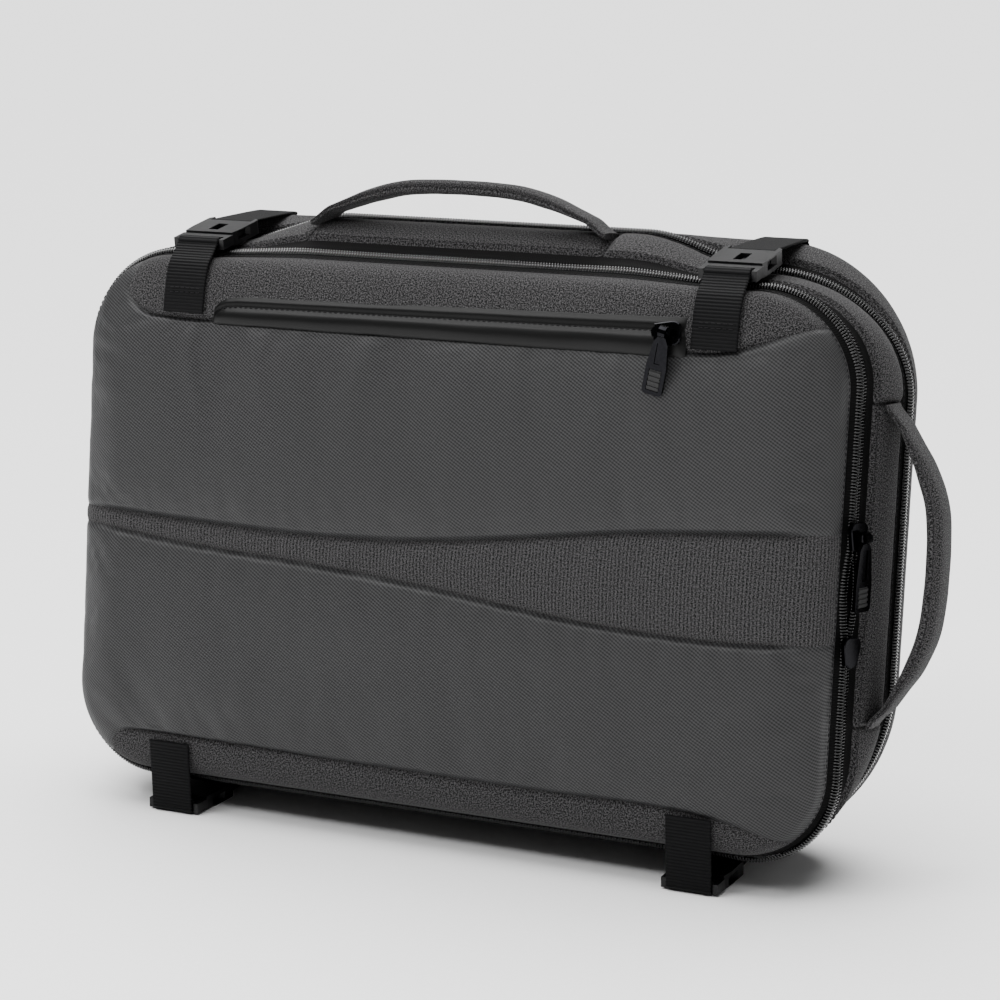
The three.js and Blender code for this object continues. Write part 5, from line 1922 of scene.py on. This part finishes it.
def top_buckle_start():
    rest = edge_height(STRAP_CENTRE, 0.0, True) + COIL_HEIGHT + BUCKLE_REST
    height = rest + BUCKLE_THICK / 2 / math.cos(BUCKLE_TILT) + TOP_BUCKLE_START * math.tan(BUCKLE_TILT)
    return np.array([TOP_BUCKLE_START, float(height)])


def make_straps(context):
    plug_bar, socket_bar = buckle_bars(top_buckle_start(), BUCKLE_TILT)
    seam_run = face_run(STRAP_CENTRE, seam_height(TOP_SEAM, STRAP_CENTRE) + SEAM_INSET, True)
    runs = seam_run + (TOP_WEB_LAST_RUN - seam_run) * np.linspace(0, 1, 7)
    front_top = np.vstack(
        [
            profile_point(STRAP_CENTRE, runs, True, WEB_SEAT),
            on_loop(plug_bar, np.arange(190, -130, -LOOP_STEP)),
        ]
    )
    runs = np.linspace(REAR_WEB_FIRST_RUN, REAR_WEB_LAST_RUN, 16)
    rear_top = np.vstack(
        [
            on_loop(socket_bar, np.arange(-60, 261, LOOP_STEP)[::-1] - 180),
            profile_point(STRAP_CENTRE, runs, True, WEB_SEAT + GAP),
        ]
    )
    base_run = face_run(STRAP_CENTRE, seam_height(BASE_SEAM, STRAP_CENTRE) - SEAM_INSET, False)
    hang = leaned_side(profile_point(STRAP_CENTRE, np.array([base_run]), False, WEB_SEAT))[0]
    start = np.array([hang[0] + BASE_BUCKLE_SETBACK, BUCKLE_THICK / 2])
    plug_bar, socket_bar = buckle_bars(start, 0.0)
    side = plug_bar[0] - LOOP_MIDDLE
    drop = [
        hang,
        (hang[0] + (side - hang[0]) * 0.35, hang[1] + (plug_bar[1] - hang[1]) * 0.35),
        (hang[0] + (side - hang[0]) * 0.8, hang[1] + (plug_bar[1] - hang[1]) * 0.7),
    ]
    front_base = np.vstack([drop, on_loop(plug_bar, np.arange(180, 500, LOOP_STEP))])
    end_run = run_at_depth(REAR_ZIP_DEPTH + REAR_TAPE / 2 + SEAM_INSET)
    end = leaned_side(profile_point(STRAP_CENTRE, np.array([end_run]), False, WEB_SEAT + GAP))[0]
    rear_base = np.vstack([on_loop(socket_bar, np.arange(250, -71, -LOOP_STEP)), end])
    paths = {
        "front_webbing_top": (front_top, False),
        "rear_webbing_top": (rear_top, False),
        "front_webbing_base": (front_base, True),
        "rear_webbing_base": (rear_base, True),
    }
    rows = {"front_webbing_top": (11, 13.5), "front_webbing_base": (12, 14.5)}
    lines = []
    for name, (points, level) in paths.items():
        path = rounded_path(points, 90)
        for side in (-1, 1):
            lines += web_lines(path, side, level, rows.get(name, ()), WEB_THICK / 2)
        for word, side in (("left", -1), ("right", 1)):
            node = f"{name}_{word}"
            make_webbing(f"{node}_strap", node, path, side, level)
    make_stitches("strap_stitches", lines, context.scene.backpack_sizes)


def handle_section(width, thick, groove):
    """Cross-section of a padded strip: flat oval, sewn along its two long edges."""
    angles = np.arange(48) / 48 * 2 * math.pi
    cos, sin = np.cos(angles), np.sin(angles)
    wide = width / 2 * np.sign(cos) * np.abs(cos) ** 0.6
    high = thick / 2 * np.sign(sin) * np.abs(sin) ** 0.6
    seam = groove * np.exp(-((high / 0.8) ** 2)) * np.sign(wide)
    return wide - seam, high


def make_handle(name, node, point_at, grip_width, grip_thick):
    """Padded cloth handle through stations along its length. Returns its front seam."""
    rows = 120
    table = row_at(HANDLE_ROWS, np.linspace(0, len(HANDLE_ROWS) - 1, rows))
    points = np.array([point_at(along, lift) for along, lift, _ in table])
    along = unit(np.gradient(points, axis=0))
    outward = unit(np.cross(along, [0, 1, 0]))
    length = arc_lengths(points)
    rings = []
    cloth = []
    for row in range(rows):
        fold = table[row, 2]
        wide, high = handle_section(
            END_WIDTH + (grip_width - END_WIDTH) * fold,
            END_THICK + (grip_thick - END_THICK) * fold,
            GRIP_SEAM_DEPTH,
        )
        # Creases where the strip flattens, and fainter ones all along
        crease = 0.25 * math.sin(length[row] / 5.3) * (1 - fold) + 0.18 * math.sin(length[row] / 3.1)
        creased = high * (1 + 0.06 * crease)
        ring = points[row] + np.outer(wide, [0, 1, 0]) + np.outer(creased, outward[row])
        rings.append(ring)
        girth = np.linalg.norm(np.roll(ring, -1, 0) - ring, axis=-1).cumsum()
        cloth.append(np.stack([girth, np.full(len(ring), length[row])], -1))
    rings, cloth = np.array(rings), np.array(cloth)
    sides = rings.shape[1]
    faces = grid_faces(rows, sides, closed_columns=True)
    piece = mesh_piece(
        name, stand(rings.reshape(-1, 3)), faces, finishes["melange"], cloth.reshape(-1, 2)
    )
    add_caps(piece, [list(range(sides)), list(range((rows - 1) * sides, rows * sides))])
    outward_faces(piece)
    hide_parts(node)
    front = rings[4:-4, sides // 2]
    return leaned(front + [0, -0.15, 0]), turned(np.tile([0.0, -1.0, 0.0], (len(front), 1)))


def make_handles(context):
    seat = REST + END_THICK / 2
    spans = np.array([HANDLE_DEPTH - END_WIDTH / 2, HANDLE_DEPTH, HANDLE_DEPTH + END_WIDTH / 2])
    span_runs = np.array([run_at_depth(depth) for depth in spans])

    def top_point(along, lift):
        x = TOP_HANDLE_START + GAP + (TOP_HANDLE_LENGTH - 2 * GAP) * along
        crown = float(edge_height(x, span_runs, True).max())
        sunk = HANDLE_SINK * (1 - smoothstep(min(along, 1 - along), 0, HANDLE_SINK_SHARE))
        return (x, HANDLE_DEPTH, crown + seat + lift * TOP_HANDLE_LIFT - sunk)

    widest = float(section_at(span_runs[-1])[1])

    def side_point(along, lift):
        z = SIDE_HANDLE_END - GAP - (SIDE_HANDLE_LENGTH - 2 * GAP) * along
        sunk = HANDLE_SINK * (1 - smoothstep(min(along, 1 - along), 0, HANDLE_SINK_SHARE))
        return (widest + seat + lift * SIDE_HANDLE_LIFT - sunk, HANDLE_DEPTH, z)

    top_thick = GRIP_THICK + TOP_GRIP_MORE_THICK
    side_width = GRIP_WIDTH + SIDE_GRIP_MORE_WIDE
    side_thick = GRIP_THICK + SIDE_GRIP_MORE_THICK
    seams = [
        make_handle("top_handle_strip", "top_handle", top_point, GRIP_WIDTH, top_thick),
        make_handle("side_handle_strip", "side_handle", side_point, side_width, side_thick),
    ]
    make_stitches("handle_stitches", seams, context.scene.backpack_sizes)


STITCH_STATIONS = np.array([(-0.5, 0.15), (-0.3, 0.9), (0.3, 0.9), (0.5, 0.15)])
STITCH_SIDES = 5

# Stitches beside the zips: how far from the cloth's edge, and how far from the cloth's surface
ZIP_STITCH_INSET = 2.4
FRONT_STITCH_LIFT = -0.5
BODY_STITCH_LIFT = 0.3
BODY_LINE_POINTS = 1400
STRAP_STITCH_INSET = 1.6


def make_stitches(name, lines, sizes):
    """Rows of stitches along lines of standing points with outward normals, as one piece."""
    pitch, long, radius = sizes.stitch_pitch / MM, sizes.stitch_length / MM, sizes.thread_radius / MM
    vertices = []
    for points, normals in lines:
        length = arc_lengths(points)
        at = np.arange(pitch, length[-1] - pitch / 2, pitch)
        place = np.stack([np.interp(at, length, points[:, axis]) for axis in range(3)], -1)
        out = unit(np.stack([np.interp(at, length, normals[:, axis]) for axis in range(3)], -1))
        ahead = np.stack([np.interp(at + 0.5, length, points[:, axis]) for axis in range(3)], -1)
        along = unit(ahead - place)
        side = np.cross(along, out)
        for shift, swell in STITCH_STATIONS:
            for number in range(STITCH_SIDES):
                angle = 2 * math.pi * number / STITCH_SIDES
                vertices.append(
                    place
                    + along * shift * long
                    + side * math.cos(angle) * radius * swell
                    + out * (math.sin(angle) * radius * swell + radius * 0.3 * swell)
                )
    per_stitch = len(STITCH_STATIONS) * STITCH_SIDES
    blocks = []
    for start in range(0, len(vertices), per_stitch):
        blocks.append(np.array(vertices[start : start + per_stitch]).transpose(1, 0, 2))
    flat = np.concatenate(blocks).reshape(-1, 3)
    faces = grid_faces(len(STITCH_STATIONS), STITCH_SIDES, closed_columns=True)
    count = len(flat) // per_stitch
    faces = (np.arange(count)[:, None, None] * per_stitch + faces[None]).reshape(-1, 4)
    cloth = flat[:, [0, 2]]
    piece = mesh_piece(name, (flat + SHIFT) * MM, faces, finishes["thread"], cloth)
    outward_faces(piece)


def body_line(depth, offset):
    """Line round the body at a depth, closed, with its normals, as the bag stands."""
    run = run_at_depth(depth)
    around = even_places(0.0, 4.0, run, BODY_LINE_POINTS)
    normals = body_normal(around, run)
    return leaned(body_point(around, run) + normals * offset), turned(normals)


def web_lines(path, side, level, places, thick):
    """Rows of stitches across a strap at places along it, as the bag stands."""
    length = arc_lengths(path)
    along = unit(np.gradient(path, axis=0))
    reach = WEB_WIDTH / 2 - STRAP_STITCH_INSET
    across = np.linspace(-reach, reach, 12)
    lines = []
    for place in places:
        at = [np.interp(place, length, path[:, axis]) for axis in (0, 1)]
        way = [np.interp(place, length, along[:, axis]) for axis in (0, 1)]
        out = np.array([0, -way[1], way[0]])
        points = np.array([(side * STRAP_CENTRE + x, at[0], at[1]) for x in across]) + out * thick
        normals = np.tile(out, (len(across), 1))
        lines.append((points, normals) if level else (leaned(points), turned(normals)))
    return lines


def make_stitching(context):
    sizes = context.scene.backpack_sizes
    lines = [
        body_line(-ZIP_SHOW - ZIP_STITCH_INSET, FRONT_STITCH_LIFT),
        body_line(ZIP_SHOW + ZIP_STITCH_INSET, BODY_STITCH_LIFT),
        body_line(REAR_ZIP_DEPTH - ZIP_SHOW - ZIP_STITCH_INSET, BODY_STITCH_LIFT),
        body_line(REAR_ZIP_DEPTH + ZIP_SHOW + ZIP_STITCH_INSET, BODY_STITCH_LIFT),
    ]
    make_stitches("zip_edge_stitches", lines, sizes)


BEVEL_STEPS = 2
BEVEL_ANGLE = math.radians(35)


def add_bevel(node, width):
    """Softens the edges of a hard CAD piece by modifiers: its points stay as they are."""
    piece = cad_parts[node]
    bevel = piece.modifiers.new("soft edges", "BEVEL")
    bevel.width = width * MM
    bevel.segments = BEVEL_STEPS
    bevel.limit_method = "ANGLE"
    bevel.angle_limit = BEVEL_ANGLE
    bevel.harden_normals = False
    for polygon in piece.data.polygons:
        polygon.use_smooth = True
    normals = piece.modifiers.new("even shading", "WEIGHTED_NORMAL")
    normals.keep_sharp = True


def finish_hardware(context):
    hardware = {}
    for edge in ("top", "base"):
        for side in ("left", "right"):
            hardware[f"buckle_plug_{edge}_{side}"] = ("acetal", 0.5)
            hardware[f"buckle_socket_{edge}_{side}"] = ("acetal", 0.6)
    for node in ("pocket_slider", "main_slider_upper", "main_slider_lower"):
        hardware[node] = ("zinc", 0.25)
    for node in ("pocket_pull", "main_pull"):
        hardware[node] = ("zinc", 0.3)
        hardware[f"{node}_grip"] = ("rubber", 0.2)
    for node, (finish, width) in hardware.items():
        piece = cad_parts[node]
        piece.data.materials.clear()
        piece.data.materials.append(finishes[finish])
        add_bevel(node, width)


def add_area_light(name, place, target, size, power):
    light = bpy.data.lights.new(name, "AREA")
    light.shape = "RECTANGLE"
    light.size, light.size_y = size
    light.energy = power
    lamp = bpy.data.objects.new(name, light)
    bpy.context.scene.collection.objects.link(lamp)
    lamp.location = place
    lamp.rotation_euler = (Vector(target) - Vector(place)).to_track_quat("-Z", "Y").to_euler()


# Camera, matched to the photograph by points on the bag, in millimetres: what it looks towards, how
# far it then moves right and up in its own plane, and a small shift that its place still takes
CAMERA_AIM = np.array([0, 30, 160])
CAMERA_SLIDE = 22.192
CAMERA_RAISE = 19.8
CAMERA_SHIFT = np.array([0, 0.148, 1.504])
SENSOR_WIDTH = 36

# Soft boxes, in metres: place, the point that each faces, its two sides and its share of the power
SOFT_BOXES = {
    "key": ((-1.2, -1.3, 2.0), (0, 0, 0.2), (0.9, 0.9), 0.75),
    "front": ((-0.1, -1.1, 1.35), (0, 0, 0.25), (1.2, 0.3), 0.24),
    "side": ((1.6, -0.2, 0.9), (0.1, 0, 0.17), (0.6, 1.2), 0.04),
}
CEILING_SPREAD = math.radians(70)
CEILING_TURN = (math.radians(-14), math.radians(-10), 0)


def set_stage(context):
    stage = context.scene.backpack_stage
    half = stage.floor_half
    corners = [(-half, -half, 0), (half, -half, 0), (half, half, 0), (-half, half, 0)]
    floor = mesh_object("studio_floor", corners)
    floor.data.materials.append(finishes["floor"])
    az, el = stage.azimuth, stage.elevation
    back = np.array([math.sin(az) * math.cos(el), -math.cos(az) * math.cos(el), math.sin(el)])
    right = np.array([math.cos(az), math.sin(az), 0])
    up = np.cross(back, right)
    place = CAMERA_AIM + back * stage.distance / MM + right * CAMERA_SLIDE + up * CAMERA_RAISE
    place = (place + CAMERA_SHIFT + SHIFT) * MM
    data = bpy.data.cameras.new("camera")
    data.lens = stage.lens
    data.sensor_width = SENSOR_WIDTH
    camera = bpy.data.objects.new("camera", data)
    context.scene.collection.objects.link(camera)
    camera.matrix_world = Matrix(
        [[right[i], up[i], back[i], place[i]] for i in range(3)] + [[0, 0, 0, 1]]
    )
    context.scene.camera = camera
    world = bpy.data.worlds.new("studio")
    context.scene.world = world
    world.use_nodes = True
    # The backdrop behind the bag is white paper. The room in front of it is dimmer
    ray = add_node(world.node_tree, "ShaderNodeLightPath")
    strength = add_node(
        world.node_tree,
        "ShaderNodeMapRange",
        None,
        {"Value": ray.outputs["Is Camera Ray"], "To Min": stage.room_light, "To Max": stage.backdrop},
    )
    background = world.node_tree.nodes["Background"]
    set_inputs(world.node_tree, background, {"Color": (1, 1, 1, 1), "Strength": strength.outputs[0]})
    ceiling = bpy.data.lights.new("ceiling", "SUN")
    ceiling.energy = stage.sun
    ceiling.angle = CEILING_SPREAD
    lamp = bpy.data.objects.new("ceiling", ceiling)
    context.scene.collection.objects.link(lamp)
    lamp.rotation_euler = CEILING_TURN
    for name, (place, target, size, share) in SOFT_BOXES.items():
        add_area_light(name, place, target, size, stage.key_power * share)


def mesh_object(name, corners):
    mesh = bpy.data.meshes.new(name)
    mesh.from_pydata(corners, [], [tuple(range(len(corners)))])
    piece = bpy.data.objects.new(name, mesh)
    bpy.context.scene.collection.objects.link(piece)
    return piece


class BackpackOperator:
    """Runs one step of the bag and stops the script if it fails."""

    bl_options = {"REGISTER", "UNDO"}

    def execute(self, context):
        material_set(context.scene.backpack_cloth)
        type(self).step(context)
        return {"FINISHED"}


class BACKPACK_OT_front_panels(BackpackOperator, bpy.types.Operator):
    """Sew the twill panels, the slanted inset and the melange bands of the front"""

    bl_idname = "backpack.front_panels"
    bl_label = "Front panels"
    step = staticmethod(make_front_panels)


class BACKPACK_OT_pocket_welt(BackpackOperator, bpy.types.Operator):
    """Lay the smooth flap over the front pocket's zip"""

    bl_idname = "backpack.pocket_welt"
    bl_label = "Pocket welt"
    step = staticmethod(make_pocket_welt)


class BACKPACK_OT_gussets(BackpackOperator, bpy.types.Operator):
    """Sew the gusset between the two zips"""

    bl_idname = "backpack.gussets"
    bl_label = "Gussets"
    step = staticmethod(make_gussets)


class BACKPACK_OT_rear_shell(BackpackOperator, bpy.types.Operator):
    """Sew the rear compartment's shell"""

    bl_idname = "backpack.rear_shell"
    bl_label = "Rear shell"
    step = staticmethod(make_rear_shell)


class BACKPACK_OT_back_panel(BackpackOperator, bpy.types.Operator):
    """Pad the back panel"""

    bl_idname = "backpack.back_panel"
    bl_label = "Back panel"
    step = staticmethod(make_back_panel)


class BACKPACK_OT_zips(BackpackOperator, bpy.types.Operator):
    """Run both zips round the bag, with their tapes and coils"""

    bl_idname = "backpack.zips"
    bl_label = "Zips"
    step = staticmethod(make_zips)


class BACKPACK_OT_straps(BackpackOperator, bpy.types.Operator):
    """Thread the compression straps through their buckles"""

    bl_idname = "backpack.straps"
    bl_label = "Straps"
    step = staticmethod(make_straps)


class BACKPACK_OT_handles(BackpackOperator, bpy.types.Operator):
    """Fold the two padded handles"""

    bl_idname = "backpack.handles"
    bl_label = "Handles"
    step = staticmethod(make_handles)


class BACKPACK_OT_stitching(BackpackOperator, bpy.types.Operator):
    """Stitch along the zips and seams"""

    bl_idname = "backpack.stitching"
    bl_label = "Stitching"
    step = staticmethod(make_stitching)


class BACKPACK_OT_hardware(BackpackOperator, bpy.types.Operator):
    """Finish the buckles, sliders and pulls"""

    bl_idname = "backpack.hardware"
    bl_label = "Hardware"
    step = staticmethod(finish_hardware)


class BACKPACK_OT_stage(BackpackOperator, bpy.types.Operator):
    """Set the floor, the lights and the camera"""

    bl_idname = "backpack.stage"
    bl_label = "Stage"
    step = staticmethod(set_stage)


OPERATORS = (
    BACKPACK_OT_stage,
    BACKPACK_OT_front_panels,
    BACKPACK_OT_pocket_welt,
    BACKPACK_OT_gussets,
    BACKPACK_OT_rear_shell,
    BACKPACK_OT_back_panel,
    BACKPACK_OT_zips,
    BACKPACK_OT_straps,
    BACKPACK_OT_handles,
    BACKPACK_OT_stitching,
    BACKPACK_OT_hardware,
)


class BACKPACK_PT_panel(bpy.types.Panel):
    """Lists the steps of the bag"""

    bl_idname = "BACKPACK_PT_panel"
    bl_label = "Convertible backpack"
    bl_space_type = "VIEW_3D"
    bl_region_type = "UI"
    bl_category = "Backpack"

    def draw(self, context):
        for operator in OPERATORS:
            self.layout.operator(operator.bl_idname)
        for group in ("backpack_cloth", "backpack_sizes", "backpack_stage"):
            settings = getattr(context.scene, group)
            for name in settings.__annotations__:
                self.layout.prop(settings, name)


CLASSES = (BackpackCloth, BackpackSizes, BackpackStage, *OPERATORS, BACKPACK_PT_panel)


def register():
    for each in CLASSES:
        bpy.utils.register_class(each)
    bpy.types.Scene.backpack_cloth = PointerProperty(type=BackpackCloth)
    bpy.types.Scene.backpack_sizes = PointerProperty(type=BackpackSizes)
    bpy.types.Scene.backpack_stage = PointerProperty(type=BackpackStage)


def unregister():
    del bpy.types.Scene.backpack_stage
    del bpy.types.Scene.backpack_sizes
    del bpy.types.Scene.backpack_cloth
    for each in reversed(CLASSES):
        bpy.utils.unregister_class(each)


def main():
    register()
    for operator in OPERATORS:
        group, name = operator.bl_idname.split(".")
        getattr(getattr(bpy.ops, group), name)()


if __name__ == "__main__":
    main()
